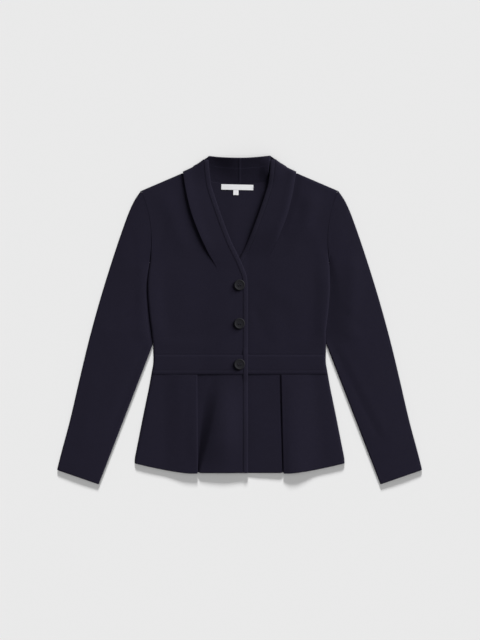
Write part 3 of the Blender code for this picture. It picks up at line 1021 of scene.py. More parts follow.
def knit_group():
    """Columns of V-shaped stitches, from coordinates on the flat cloth. Its Shade is painted shade, darker
    between the stitches and lighter on their tops, with a random tone for each stitch.
    """
    name = "Knit stitches"
    if name in bpy.data.node_groups:
        return bpy.data.node_groups[name]
    tree, start, end = new_group(
        name,
        (("Cloth", "NodeSocketVector"), ("Wale", "NodeSocketFloat"), ("Course", "NodeSocketFloat")),
        ("Height", "Shade"),
    )
    flat_x, flat_y = split_node(tree, start.outputs["Cloth"])
    slack = noise_node(tree, start.outputs["Cloth"], SLACK_SCALE)
    sway = sum_node(tree, "SUBTRACT", slack, 0.5)
    across = sum_node(tree, "DIVIDE", flat_x, start.outputs["Wale"])
    across = sum_node(tree, "MULTIPLY_ADD", sway, SLACK_ACROSS, across)
    column = sum_node(tree, "FLOOR", across)
    inside = sum_node(tree, "SUBTRACT", sum_node(tree, "FRACT", across), 0.5)
    leg = sum_node(tree, "ABSOLUTE", inside)
    off = sum_node(tree, "MULTIPLY_ADD", leg, 4.0, -1.0)
    round_leg = sum_node(tree, "SUBTRACT", 1.0, sum_node(tree, "MULTIPLY", off, off))
    along = sum_node(tree, "DIVIDE", flat_y, start.outputs["Course"])
    along = sum_node(tree, "MULTIPLY_ADD", leg, LEG_SLOPE, along)
    along = sum_node(tree, "MULTIPLY_ADD", sway, SLACK_ALONG, along)
    row = sum_node(tree, "FLOOR", along)
    turn = sum_node(tree, "MULTIPLY_ADD", sum_node(tree, "FRACT", along), 2.0, -1.0)
    bulge = sum_node(tree, "SUBTRACT", 1.0, sum_node(tree, "MULTIPLY", turn, turn))
    fill = sum_node(tree, "MULTIPLY_ADD", bulge, 1.0 - STITCH_FLOOR, STITCH_FLOOR)
    height = sum_node(tree, "MULTIPLY", round_leg, fill)
    stitch = tree.nodes.new("ShaderNodeCombineXYZ")
    tree.links.new(column, stitch.inputs[0])
    tree.links.new(row, stitch.inputs[1])
    chance = tree.nodes.new("ShaderNodeTexWhiteNoise")
    chance.noise_dimensions = "2D"
    tree.links.new(stitch.outputs[0], chance.inputs["Vector"])
    # Painted shade: the colour follows the stitches' height, darker where they dip, mixed with a random
    # tone for each stitch
    shade = sum_node(tree, "MULTIPLY", height, 1.0 - STITCH_CHANCE)
    shade = sum_node(tree, "MULTIPLY_ADD", chance.outputs["Value"], STITCH_CHANCE, shade)
    tree.links.new(height, end.inputs["Height"])
    tree.links.new(shade, end.inputs["Shade"])
    return tree


def cloud_group():
    """Slow changes of tone over a whole piece, and fine fuzz."""
    name = "Cloth tone"
    if name in bpy.data.node_groups:
        return bpy.data.node_groups[name]
    tree, start, end = new_group(name, (("Place", "NodeSocketVector"),), ("Tone", "Fuzz"))
    slow = noise_node(tree, start.outputs["Place"], CLOUD_SCALE, 3.0)
    fast = noise_node(tree, start.outputs["Place"], FUZZ_SCALE)
    tree.links.new(range_node(tree, slow, 0.3, 0.7, 0.0, 1.0), end.inputs["Tone"])
    tree.links.new(fast, end.inputs["Fuzz"])
    return tree


def weave_group():
    """Plain weave of warp and weft, from coordinates on the flat tape. Its Shade is painted shade, darker
    in the dips between the threads, mixed with random slubs.
    """
    name = "Tape weave"
    if name in bpy.data.node_groups:
        return bpy.data.node_groups[name]
    tree, start, end = new_group(
        name,
        (("Cloth", "NodeSocketVector"), ("Pitch", "NodeSocketFloat")),
        ("Height", "Shade"),
    )
    flat_x, flat_y = split_node(tree, start.outputs["Cloth"])
    step = sum_node(tree, "DIVIDE", math.pi, start.outputs["Pitch"])
    warp = sum_node(tree, "SINE", sum_node(tree, "MULTIPLY", flat_x, step))
    weft = sum_node(tree, "SINE", sum_node(tree, "MULTIPLY", flat_y, step))
    height = sum_node(tree, "MULTIPLY_ADD", sum_node(tree, "MULTIPLY", warp, weft), 0.5, 0.5)
    slub = noise_node(tree, start.outputs["Cloth"], SLUB_SCALE)
    # Painted shade: half from the weave's height, darker in its dips, half from random slubs
    shade = sum_node(tree, "MULTIPLY_ADD", slub, 0.5, sum_node(tree, "MULTIPLY", height, 0.5))
    tree.links.new(height, end.inputs["Height"])
    tree.links.new(shade, end.inputs["Shade"])
    return tree


def group_node(tree, group, **values):
    node = tree.nodes.new("ShaderNodeGroup")
    node.node_tree = group
    for label, value in values.items():
        socket_or_number(tree, node, label, value)
    return node


# Materials

KNIT_TONE = 0.24
KNIT_FUZZ = 0.3
KNIT_FUZZ_HEIGHT = 0.25
KNIT_BUMP = 0.5
KNIT_RELIEF = 0.0004
KNIT_ROUGH = (0.82, 0.95)
BINDING_WALE = 0.75
BINDING_COURSE = 0.8
# Share of the binding's colour in its painted shade between the stitches
BINDING_SHADE_SHARE = 0.6
BINDING_BUMP = 0.4
WEAVE_RELIEF = 0.0001
HORN_ROUGH = (0.46, 0.6)
HORN_GRAIN_SCALE = 1400.0
HORN_RELIEF = 0.00005


def new_material(name):
    material = bpy.data.materials.new(name)
    material.use_nodes = True
    tree = material.node_tree
    return material, tree, tree.nodes["Principled BSDF"]


def shaded(name, share):
    """A colour of the settings, made lighter or deeper for the painted light and shade of stitches and
    weave.
    """
    return tuple(value * share for value in colour(name))


def cloth_coordinates(tree):
    node = tree.nodes.new("ShaderNodeUVMap")
    node.uv_map = CLOTH_LAYER
    return node.outputs[0]


def object_coordinates(tree):
    return tree.nodes.new("ShaderNodeTexCoord").outputs["Object"]


def bump_node(tree, height, strength, distance):
    node = tree.nodes.new("ShaderNodeBump")
    node.inputs["Strength"].default_value = strength
    node.inputs["Distance"].default_value = distance
    tree.links.new(height, node.inputs["Height"])
    return node.outputs[0]


def link_surface(tree, shader, shade, rough, normal):
    """Links what changes over the surface."""
    tree.links.new(shade, shader.inputs["Base Color"])
    tree.links.new(rough, shader.inputs["Roughness"])
    tree.links.new(normal, shader.inputs["Normal"])


def knit_material(name, light, deep, wale, course, bump):
    """Matt yarn with stitches, painted shade between them, slow changes of tone and a faint sheen of fuzz.
    """
    if name in bpy.data.materials:
        return bpy.data.materials[name]
    material, tree, shader = new_material(name)
    knit = group_node(tree, knit_group(), Cloth=cloth_coordinates(tree), Wale=wale, Course=course)
    tone = group_node(tree, cloud_group(), Place=object_coordinates(tree))
    yarn = sum_node(tree, "MULTIPLY_ADD", tone.outputs["Tone"], KNIT_TONE, -KNIT_TONE / 2.0)
    # The stitches' painted shade is added to the slow tone and the fuzz
    yarn = sum_node(tree, "ADD", knit.outputs["Shade"], yarn)
    fuzz = sum_node(tree, "MULTIPLY_ADD", tone.outputs["Fuzz"], KNIT_FUZZ, -KNIT_FUZZ / 2.0)
    yarn = sum_node(tree, "ADD", yarn, fuzz)
    rough = range_node(tree, tone.outputs["Tone"], 0.0, 1.0, *KNIT_ROUGH)
    height = sum_node(tree, "MULTIPLY_ADD", tone.outputs["Fuzz"], KNIT_FUZZ_HEIGHT, knit.outputs["Height"])
    normal = bump_node(tree, height, bump, KNIT_RELIEF)
    # Base colour: from the painted shade between the stitches to the knit colour on their tops
    link_surface(tree, shader, blend_node(tree, yarn, deep, light), rough, normal)
    shader.inputs["Specular IOR Level"].default_value = 0.08
    shader.inputs["Sheen Weight"].default_value = 0.03
    shader.inputs["Sheen Roughness"].default_value = 0.45
    shader.inputs["Sheen Tint"].default_value = (0.55, 0.53, 0.68, 1.0)
    return material


def body_knit():
    sizes = bpy.context.scene.jacket_sizes
    # Painted shade between the body's stitches
    deep = colour("knit_stitch_shade")
    return knit_material("navy knit", colour("knit"), deep, sizes.wale, sizes.course, KNIT_BUMP)


def binding_knit():
    sizes = bpy.context.scene.jacket_sizes
    wale = sizes.wale * BINDING_WALE
    course = sizes.course * BINDING_COURSE
    # Painted shade between the binding's stitches
    deep = shaded("binding", BINDING_SHADE_SHARE)
    return knit_material("binding knit", colour("binding"), deep, wale, course, BINDING_BUMP)


def woven_material(name, deep, light, pitch, bump, rough, specular):
    """Twisted or woven yarn, with painted shade in the dips of the weave."""
    if name in bpy.data.materials:
        return bpy.data.materials[name]
    material, tree, shader = new_material(name)
    weave = group_node(tree, weave_group(), Cloth=cloth_coordinates(tree), Pitch=pitch)
    # Base colour: from painted shade in the weave's dips to painted light on its tops
    shade = blend_node(tree, weave.outputs["Shade"], deep, light)
    roughness = range_node(tree, weave.outputs["Shade"], 0.0, 1.0, *rough)
    normal = bump_node(tree, weave.outputs["Height"], bump, WEAVE_RELIEF)
    link_surface(tree, shader, shade, roughness, normal)
    shader.inputs["Specular IOR Level"].default_value = specular
    return material


def thread_material():
    return woven_material(
        "navy thread",
        deep=colour("thread"),
        # Painted highlight on the tops of the thread's twist
        light=shaded("thread", 1.5),
        pitch=0.0004,
        bump=0.4,
        rough=(0.6, 0.75),
        specular=0.2,
    )


def tape_material():
    """White woven tape, left bare, with painted shade in the dips of its weave."""
    return woven_material(
        "white tape",
        # Painted shade in the dips of the tape's weave
        deep=shaded("label", 0.88),
        light=colour("label"),
        pitch=0.00035,
        bump=0.35,
        rough=(0.5, 0.65),
        specular=0.3,
    )


def horn_material():
    """Satin moulded plastic with soft streaks."""
    name = "charcoal horn"
    if name in bpy.data.materials:
        return bpy.data.materials[name]
    material, tree, shader = new_material(name)
    place_socket = object_coordinates(tree)
    wave = tree.nodes.new("ShaderNodeTexWave")
    wave.inputs["Scale"].default_value = 130.0
    wave.inputs["Distortion"].default_value = 6.0
    wave.inputs["Detail"].default_value = 3.0
    wave.inputs["Detail Scale"].default_value = 1.5
    tree.links.new(place_socket, wave.inputs["Vector"])
    grain = noise_node(tree, place_socket, HORN_GRAIN_SCALE, 3.0)
    streak = sum_node(tree, "MULTIPLY", wave.outputs["Fac"], 0.5)
    part = sum_node(tree, "MULTIPLY_ADD", grain, 0.5, streak)
    shade = blend_node(tree, part, colour("button"), colour("button_light"))
    rough = range_node(tree, grain, 0.3, 0.7, *HORN_ROUGH)
    link_surface(tree, shader, shade, rough, bump_node(tree, grain, 0.15, HORN_RELIEF))
    shader.inputs["Specular IOR Level"].default_value = 0.14
    return material


# Fronts with their lapels

ROLL = (18.0, 36.0, 54.0, 72.0, 90.0)
SIDE_TURNS = (90.0, 72.0, 54.0, 36.0, 18.0, 0.0)
LAPEL_OUTER_SHARES = (0.0, 0.004, 0.015, 0.04, 0.075, 0.12, 0.18, 0.26, 0.36)
LAPEL_INNER_SHARES = (0.48, 0.6, 0.72, 0.84, 0.94, 0.985, 0.996, 1.0)
LAPEL_SHARES = LAPEL_OUTER_SHARES + LAPEL_INNER_SHARES
FLAP_SHARES = (*spread(0.0, 0.96, 21)[1:], 0.985, 0.998, 1.0)
FRONT_BASE_UP = BAND_HIGH_UP + SEAM / 2.0
FRONT_FIRST_ROW = 1.2
ROWS_BELOW_SLASH = 32
ROWS_BESIDE_SLASH = 34
SHOULDER_GUESS_UP = 590.0
LAPEL_END_GUESS_UP = 625.0
BINDING_END_GUESS_UP = 640.0
ON_EDGE = 1e-6
UNDERLAP_START = 0.45
UNDERLAP_RUN = 0.3
SIDE_ROLL_END_UP = SIDE[-1].up - 10.0
SIDE_ROLL_END_RUN = 40.0
SHOULDER_SEAM_RISE = 0.8
SHOULDER_SEAM_RUN = 25.0
SIDE_OVER_SLEEVE_TOP = 5.1


def underlap(half, up):
    if up <= half.slash_up + ON_EDGE:
        return 0.0
    return mix(-SLASH_GAP, SLASH_UNDERLAP, ramp(opening(half, up), UNDERLAP_START, UNDERLAP_RUN))


def slash_end(half):
    """Height at which the edge under the lapel meets the shoulder."""
    return meet(lambda up: LAPEL_LINE.at(up) - underlap(half, up), shoulder_up, SHOULDER_GUESS_UP)


def front_rows(half):
    """Shares of the height, with a row at the end of the slash, then the angles of the shoulder's roll."""
    run = slash_end(half) - SHOULDER_ROLL - FRONT_BASE_UP
    tip = (half.slash_up - FRONT_BASE_UP) / run
    first = FRONT_FIRST_ROW / run
    shares = [0.0, first / 5.0] + spread(first, tip, ROWS_BELOW_SLASH)
    shares += spread(tip, 1.0, ROWS_BESIDE_SLASH)[1:]
    return tip, [(share, 0.0) for share in shares] + [(1.0, math.radians(angle)) for angle in ROLL]


def rolled(top, end, side_angle, side_share, end_angle):
    """Height of a face that rolls down to its end, at a side, at an upper edge or at both."""
    drop = 1.0 - side_share * (1.0 - math.cos(side_angle))
    return end + (top - end) * drop * math.cos(end_angle)


def front_outer_point(half, share, end_angle, side_angle, across):
    """Point of the part of a front between the side and the lapel's slash."""

    def out_at(up):
        inset = side_out(up) - SIDE_ROLL - nipped(half, up)
        if across == 0.0:
            return inset + SIDE_ROLL * math.sin(side_angle)
        return mix(inset, LAPEL_LINE.at(up) - underlap(half, up), across)

    end = meet(out_at, shoulder_up, SHOULDER_GUESS_UP)
    up = mix(FRONT_BASE_UP, end - SHOULDER_ROLL, share) + SHOULDER_ROLL * math.sin(end_angle)
    out = out_at(up)
    if up <= half.slash_up + ON_EDGE and across == 1.0:
        top = front_top(half, out, up)
    else:
        top = shoulder_flap_top(half, out, up)
    side_share = 1.0 - ramp(up, SIDE_ROLL_END_UP, SIDE_ROLL_END_RUN)
    low = FRONT_SEAM_TOP + SHOULDER_SEAM_RISE * (1.0 - ramp(out, LAPEL_LINE.at(up), SHOULDER_SEAM_RUN))
    low = mix(low, SIDE_OVER_SLEEVE_TOP, beside_sleeve(up))
    return laid(half.sign, out, up, rolled(top, low, side_angle, side_share, end_angle))


def front_inner_point(half, tip, share, end_angle, across):
    """Point of the part of a front between the lapel's slash and the binding."""

    def out_at(up):
        return mix(LAPEL_LINE.at(up), front_inner_out(up), across)

    end = meet(out_at, COLLAR_FOLD_LINE.at, LAPEL_END_GUESS_UP)
    start = slash_end(half)
    up = mix(FRONT_BASE_UP, start - SHOULDER_ROLL, share)
    up += (end - start) * clamp((share - tip) / (1.0 - tip))
    up += SHOULDER_ROLL * math.sin(end_angle)
    out = out_at(up)
    top = rolled(lapel_top(half, out, up), lapel_seam_top(half, out), 0.0, 0.0, end_angle)
    return laid(half.sign, out, up, top)


def make_front(half):
    tip, rows = front_rows(half)
    outer = []
    inner = []
    for share, angle in rows:
        line = [front_outer_point(half, share, angle, math.radians(turn), 0.0) for turn in SIDE_TURNS]
        line += [front_outer_point(half, share, angle, 0.0, across) for across in FLAP_SHARES]
        outer.append(line)
        inner.append([front_inner_point(half, tip, share, angle, across) for across in LAPEL_SHARES])
    name = half.name + "_front"
    return panel(name, [outer, inner], body_knit(), size("cloth_wall"), "front_" + half.name)


# Waistband

BAND_PROFILE = (
    Proud(0.0, -0.8),
    Proud(0.02, -0.55),
    Proud(0.05, -0.1),
    Proud(0.1, 0.3),
    Proud(0.15, 0.3),
    Proud(0.19, -0.1),
    Proud(0.22, -0.1),
    Proud(0.26, 0.1),
    Proud(0.5, 0.2),
    Proud(0.84, 0.2),
    Proud(0.9, 0.1),
    Proud(0.95, -0.4),
    Proud(0.98, -0.75),
    Proud(1.0, -1.0),
)
BAND_RISE = Line(BAND_PROFILE, "share", "rise")
BAND_LOW_SHARES = (0.0, 0.006, *(row.share for row in BAND_PROFILE[1:8]))
BAND_HIGH_SHARES = (0.9, 0.93, 0.96, 0.98, 0.994, 1.0)
BAND_SHARES = (*BAND_LOW_SHARES, *spread(0.32, 0.86, 8), *BAND_HIGH_SHARES)
BAND_TROUGH = 0.3
BAND_WAVE = 0.15
BAND_WAVE_LENGTH = 13.0
BAND_CLOSE_OUT = 46.0
BAND_WIDE_OUT = 50.0
BAND_EDGE_ROW = 2.0
BAND_STITCH_SHARE = 0.195
BAND_STITCH_SHARES = (0.0, 0.15, 0.5, 0.85, 1.0)
BAND_STITCH_GAP = 0.9
BAND_STITCH_INSET = 2.0
BAND_STITCH_ARCH = 0.3
BAND_STITCH_SUNK = 0.08
BAND_STITCH_SWAY = 0.12
BAND_STITCH_TURN = 2.3


def band_up(share):
    return mix(BAND_LOW_UP + SEAM / 2.0, BAND_HIGH_UP - SEAM / 2.0, share)


def band_middle_top(half, out):
    return BAND_TOP + half.band_lap * lapped(out) + BAND_TROUGH * lap_trough(half, out)


def band_top(half, out, share):
    wave = BAND_WAVE * math.sin(out / BAND_WAVE_LENGTH + half.sign) * math.sin(math.pi * share)
    return band_middle_top(half, out) + BAND_RISE.at(share) + wave


def make_band(half):
    points = []
    for share in BAND_SHARES:
        up = band_up(share)
        inset = side_out(up) - SIDE_ROLL
        line = []
        for turn in SIDE_TURNS[:-1]:
            angle = math.radians(turn)
            top = rolled(BAND_TOP + BAND_RISE.at(share), BAND_SEAM_TOP, angle, 1.0, 0.0)
            line.append(laid(half.sign, inset + SIDE_ROLL * math.sin(angle), up, top))
        inner = front_inner_out(up)
        outs = spread(inset, BAND_WIDE_OUT, 24)
        outs += spread(BAND_CLOSE_OUT, inner + BAND_EDGE_ROW, 13) + [inner]
        line += [laid(half.sign, out, up, band_top(half, out, share)) for out in outs]
        points.append(line)
    name = half.name + "_waistband"
    return panel(name, [points], body_knit(), size("band_wall"), "waistband_" + half.name)


def make_band_stitches(half):
    """Row of sewn stitches along the lower part of a waistband."""
    work, layer = new_work()
    length = size("stitch")
    pitch = length + BAND_STITCH_GAP
    start = front_inner_out(BAND_LOW_UP) + BAND_STITCH_INSET
    up = band_up(BAND_STITCH_SHARE)
    count = int((side_out(up) - SIDE_ROLL - start) / pitch)
    for number in range(count):
        sway = BAND_STITCH_SWAY * math.sin(number * BAND_STITCH_TURN)
        path = []
        for share in BAND_STITCH_SHARES:
            out = start + number * pitch + share * length
            top = band_top(half, out, BAND_STITCH_SHARE)
            top += BAND_STITCH_ARCH * math.sin(math.pi * share) - BAND_STITCH_SUNK
            path.append(place(half.sign, out, up + sway, top))
        add_strand(work, layer, path, size("thread_radius") * MM)
    return finish_threads(half.name + "_waistband_stitches", work, thread_material())


# Peplum

PEPLUM_START_UP = BAND_LOW_UP - SEAM / 2.0
PEPLUM_LEVELS = (0.0, 0.0015, 0.006, *spread(0.03, 0.97, 30), 0.993, 1.0)
PEPLUM_LOW_UP = 10.0
PEPLUM_UNDER_HEM_UP = 1.5
FOLD_REST = 0.8
FOLD_REST_START = 0.62
FOLD_REST_RUN = 0.38
RIDGE_INSET = 16.0
RIDGE_OUTER_WIDTH = 36.0
RIDGE_INNER_WIDTH = 62.0
RIDGE_START_RUN = 0.55
RIDGE_EDGE_SHARE = 0.55
RIDGE_EDGE_OUT = -17.0
RIDGE_EDGE_RUN = 50.0
VALLEY_REACH_LOW = 0.3
VALLEY_REACH_POWER = 0.8
VALLEY_SLOPE = 1.5
VALLEY_SLOPE_LOW = 6.0
VALLEY_SLOPE_POWER = 1.6
VALLEY_DEPTH_RUN = 0.4
VALLEY_SUNK = 0.4
VALLEY_CLIMB_POWER = 2.6
VALLEY_CLIMB_SHARE = 0.8
SIDE_PANEL_POWER = 0.8
PLEAT_STACK_RUN = 45.0
PLEAT_FLAT_RUN = 16.0
PLEAT_LIFT_RUN = 30.0
PLEAT_CROWN_RUN = 11.0
PLEAT_FLOOR_START = 18.0
PLEAT_FLOOR_END = 2.0


def pleat_out(half, low):
    return mix(half.pleat_high, half.pleat_low, low)


def at_rest(low):
    """Share of a fold's height that is left near the hem, where the cloth lies down."""
    return 1.0 - FOLD_REST * ramp(low, FOLD_REST_START, FOLD_REST_RUN)


def valley_reach(half, low):
    """Distance from a pleat's edge to the foot of the valley beside it."""
    return mix(half.valley, VALLEY_REACH_LOW, low ** VALLEY_REACH_POWER)


def valley_width(half, low):
    """Distance from the foot of the valley to the top of its far slope."""
    return mix(half.valley * VALLEY_SLOPE, VALLEY_SLOPE_LOW, low ** VALLEY_SLOPE_POWER)


def centre_ridge(half, out, low):
    """Height of the soft ridge of the peplum's centre panel, beside the pleat's valley."""
    crest = pleat_out(half, low) - valley_reach(half, low) - valley_width(half, low) - RIDGE_INSET
    wide = RIDGE_OUTER_WIDTH if out > crest else RIDGE_INNER_WIDTH
    height = half.ridge * smooth(low / RIDGE_START_RUN) * at_rest(low) * hill(out - crest, wide)
    return height * mix(RIDGE_EDGE_SHARE, 1.0, ramp(out, RIDGE_EDGE_OUT, RIDGE_EDGE_RUN))


def centre_mid(half, out, low):
    """Middle of the wall of the peplum's centre panel."""
    return PEPLUM_MID + half.lap * lapped(out) + lap_trough(half, out) + centre_ridge(half, out, low)


def peplum_section(half, low):
    """Points of one level line of a front peplum: out, middle of the wall, and height of its hem."""
    edge = pleat_out(half, low)
    bend = mix(PLEAT_BEND_HIGH, PLEAT_BEND_LOW, low)
    up = mix(PEPLUM_START_UP, PEPLUM_LOW_UP, low)
    side = side_out(up) - size("cloth_wall") / 2.0
    over_mid = PLEAT_FLOOR + 4.0 * bend
    lift = half.lift * low * at_rest(low)
    over_edge = over_mid + lift
    under_hem = PEPLUM_UNDER_HEM_UP

    def wavy(out):
        return creased(PEPLUM_CREASES, half.sign, out, up)

    # Side panel, from its rolled edge to the pleat
    points = []
    for turn in SIDE_TURNS[:-1]:
        angle = math.radians(turn)
        out = side - SIDE_ROLL + SIDE_ROLL * math.sin(angle)
        points.append((out, rolled(PEPLUM_MID, PEPLUM_SEAM_TOP, angle, 1.0, 0.0), side_hem_up(out)))
    for share in spread(0.0, 1.0, 22):
        out = mix(side - SIDE_ROLL, edge + bend, share ** SIDE_PANEL_POWER)
        stack = 1.0 - ramp(out, edge + PLEAT_DEPTH, PLEAT_STACK_RUN)
        middle = mix(PEPLUM_MID, over_mid, stack) + wavy(out) * ramp(out, edge, PLEAT_FLAT_RUN)
        middle += lift * (1.0 - ramp(out, edge + bend, PLEAT_LIFT_RUN))
        middle += half.crown * low * ramp(out, edge + bend, PLEAT_CROWN_RUN) * stack
        points.append((out, middle, side_hem_up(out)))

    # Folded edge, the layer under it and the fold behind
    for turn in spread(22.5, 180.0, 8):
        angle = math.radians(turn)
        middle = over_edge - bend + bend * math.cos(angle)
        hem = mix(SIDE_HEM_LOW_UP, under_hem, turn / 180.0)
        points.append((edge + bend - bend * math.sin(angle), middle, hem))
    for share in (0.3, 0.6):
        middle = mix(over_edge - 2.0 * bend, PLEAT_FLOOR + 2.0 * bend, share)
        points.append((edge + PLEAT_DEPTH * share, middle, under_hem))
    for turn in spread(0.0, 180.0, 8):
        angle = math.radians(turn)
        middle = PLEAT_FLOOR + bend + bend * math.cos(angle)
        points.append((edge + PLEAT_DEPTH - bend + bend * math.sin(angle), middle, under_hem))

    # Floor of the pleat, the valley beside it and the centre panel
    near = edge - valley_reach(half, low)
    far = near - valley_width(half, low)
    floor = mix(PEPLUM_MID, PLEAT_FLOOR, smooth(low / VALLEY_DEPTH_RUN)) - VALLEY_SUNK
    for share in (0.4, 0.75, 1.0):
        points.append((edge + mix(PLEAT_FLOOR_START, PLEAT_FLOOR_END, share), PLEAT_FLOOR, under_hem))
    for share in (0.3, 0.65, 1.0):
        points.append((mix(edge + PLEAT_FLOOR_END, near, share), mix(PLEAT_FLOOR, floor, share), under_hem))
    for share in spread(0.0, 1.0, 11)[1:]:
        out = mix(near, far, share)
        steep = 1.0 - (1.0 - share) ** VALLEY_CLIMB_POWER
        climb = mix(smooth(share), steep, VALLEY_CLIMB_SHARE * low)
        middle = mix(floor, centre_mid(half, out, low) + wavy(out), climb)
        points.append((out, middle, mix(under_hem, HEM_UP, share)))
    inner = front_inner_out(up)
    for share in spread(0.0, 0.97, 13)[1:] + [1.0]:
        out = mix(far, inner, share)
        points.append((out, centre_mid(half, out, low) + wavy(out), HEM_UP))
    return points


def make_peplum(half):
    points = []
    for low in PEPLUM_LEVELS:
        section = peplum_section(half, low)
        runs = measured([(out, middle) for out, middle, _ in section])
        line = []
        for (out, middle, hem), (_, run) in zip(section, runs):
            up = mix(PEPLUM_START_UP, hem, low)
            line.append((place(half.sign, out, up, middle), -half.sign * run * MM, up * MM))
        points.append(line)
    name = half.name + "_peplum"
    wall = size("cloth_wall")
    return panel(name, [points], body_knit(), wall, "peplum_" + half.name, 0.0)


# Back

BACK_INSET = 6.2
BACK_SHOULDER_INSET = 1.2
BACK_SHOULDER_UP = 556.0
BACK_SHOULDER_RUN = 16.0
BACK_HEM_RISE = 2.5


def back_top(out, up):
    return size("cloth_wall") + back_creased(out, up)


def back_out(up):
    shoulder = BACK_SHOULDER_INSET * ramp(up, BACK_SHOULDER_UP, BACK_SHOULDER_RUN)
    return side_out(up) - BACK_INSET * beside_sleeve(up) - shoulder


def make_back():
    points = []
    for share in spread(0.0, 0.99, 44) + [1.0]:
        line = []
        for across in spread(-1.0, 1.0, 45):
            end = meet(lambda up: back_out(up) * across, back_top_up, SHOULDER_GUESS_UP)
            up = mix(BAND_HIGH_UP, end, share)
            out = back_out(up) * across
            line.append(laid(1, out, up, back_top(out, up)))
        points.append(line)
    return panel("back", [points], body_knit(), size("cloth_wall"), "back_bodice", sewn=True)


def make_back_band():
    wall = size("band_wall")
    points = []
    for up in spread(BAND_LOW_UP, BAND_HIGH_UP, 8):
        points.append([laid(1, side_out(up) * across, up, wall) for across in spread(-1.0, 1.0, 31)])
    return panel("back_band", [points], body_knit(), wall, "back_waistband", sewn=True)


def make_back_skirt():
    wall = size("cloth_wall")
    points = []
    for low in spread(0.0, 1.0, 24):
        wide = side_out(mix(BAND_LOW_UP, SIDE[0].up, low))
        line = []
        for out in spread(-wide, wide, 37):
            hem = mix(BAND_LOW_UP, side_hem_up(abs(out)) + BACK_HEM_RISE, low)
            line.append(laid(1, out, hem, wall))
        points.append(line)
    return panel("back_skirt", [points], body_knit(), wall, "back_peplum", sewn=True)


# Collar

STAND_SHARES = spread(0.0, 0.6, 31) + [0.615, 0.625, 0.635] + spread(0.65, 0.98, 17)
COLLAR_OUTER_COLUMNS = spread(0.0, 0.62, 56) + spread(0.65, 0.93, 8)
COLLAR_COLUMNS = COLLAR_OUTER_COLUMNS + [0.955, 0.97, 0.98, 0.99, 1.0]
COLLAR_MIDDLE_OUT = 0.01
COLLAR_POWER = 1.3
COLLAR_FLAT_RUN = 55.0
COLLAR_CLIMB_RUN = 24.0
COLLAR_CLIMB_START = 0.45
COLLAR_BELOW_EDGE = 0.7
COLLAR_UNDER_BINDING = 2.6
COLLAR_TUCK_START = 0.3
COLLAR_TUCK_RUN = 1.3
COLLAR_BELOW_FOLD = 0.8
COLLAR_OVER = 2.4
COLLAR_OVER_SHARE = 0.35
COLLAR_UNDER = 2.6
COLLAR_SEAM_RISE = 0.8
COLLAR_SEAM_WIDTH = 1.9
COLLAR_FALL_END = 2.0
COLLAR_FALL_MIDDLE = 14.0
COLLAR_FALL_GROWTH = 1.5
STRIP_SHARE = 0.615
STRIP_EDGE_RUN = 0.02
STRIP_RISE = 0.5
STRIP_START_RUN = 0.12
STRIP_CLEAR = 4.0
STRIP_CLEAR_RUN = 9.0


def collar_top(half, out, up, high):
    """Upper face of the collar inside the neck and, lower, under the lapel's edge."""
    inside = NECKLINE_LINE.at(up) - out
    stand = size("cloth_wall") + COLLAR_RISE * high ** COLLAR_POWER
    side = collar_side_top(half, high)
    if half.slant == 0.0:
        return mix(side, stand, ramp(inside, 1.0, COLLAR_FLAT_RUN))
    edge = edge_top(half, up) + half.slant * neck_rise(up) * size("binding_width")
    near = smooth(1.0 - inside / COLLAR_CLIMB_RUN) * smooth(high / COLLAR_CLIMB_START)
    under = 1.0 - ramp(inside, COLLAR_TUCK_START, COLLAR_TUCK_RUN)
    beside = mix(stand, edge - COLLAR_BELOW_EDGE, near)
    return mix(beside, min(side, edge - COLLAR_UNDER_BINDING), under)


def collar_line(half, along):
    """One line across the collar: up the stand, over its top edge and down the fall behind it."""
    low_out = mix(NECK_POINT_OUT, COLLAR_MIDDLE_OUT, along)
    top_out = mix(COLLAR_CORNER_OUT, COLLAR_MIDDLE_OUT, along)
    top_up = mix(COLLAR_TOP_UP, COLLAR_CORNER_UP, (top_out / COLLAR_CORNER_OUT) ** 2)
    high_top = collar_top(half, top_out, top_up, 1.0)
    over = min(COLLAR_OVER, high_top * COLLAR_OVER_SHARE)
    points = []

    def add(out, up, top):
        fold = COLLAR_FOLD_LINE.at(out) - COLLAR_BELOW_FOLD
        points.append((out, mix(up, min(up, fold), (1.0 - along) ** 2), top))

    for high in STAND_SHARES:
        out = mix(low_out, top_out, high)
        up = mix(back_neck_up(low_out), top_up - over, high)
        free = ramp(NECKLINE_LINE.at(up) - out, STRIP_CLEAR, STRIP_CLEAR_RUN)
        seam = COLLAR_SEAM_RISE * hill(out, COLLAR_SEAM_WIDTH)
        strip = STRIP_RISE * free * smooth(high / STRIP_START_RUN)
        strip *= 1.0 - ramp(high, STRIP_SHARE, STRIP_EDGE_RUN)
        add(out, up, collar_top(half, out, up, high) + seam + strip)
    for turn in spread(90.0, 0.0, 5):
        angle = math.radians(turn)
        add(top_out, top_up - over + over * math.cos(angle), high_top - over + over * math.sin(angle))
    under = min(COLLAR_UNDER, (high_top - over) / 2.0)
    for share in (0.3, 0.6):
        add(top_out, top_up, mix(high_top - over, under, share))
    for turn in spread(0.0, -90.0, 5):
        angle = math.radians(turn)
        add(top_out, top_up - under + under * math.cos(angle), under + under * math.sin(angle))
    fall = COLLAR_FALL_END + COLLAR_FALL_MIDDLE * smooth(along * COLLAR_FALL_GROWTH)
    for share in (0.3, 0.65, 1.0):
        add(top_out, top_up - under - fall * share, 0.0)
    return points


def make_collar(half):
    columns = []
    for along in COLLAR_COLUMNS:
        line = []
        for (out, up, top), run in measured(collar_line(half, along)):
            line.append((place(half.sign, out, up, top), half.sign * out * MM, run * MM))
        columns.append(line)
    name = half.name + "_collar"
    return panel(name, [columns], body_knit(), size("cloth_wall"), "collar_" + half.name, sewn=True)


# Sleeves

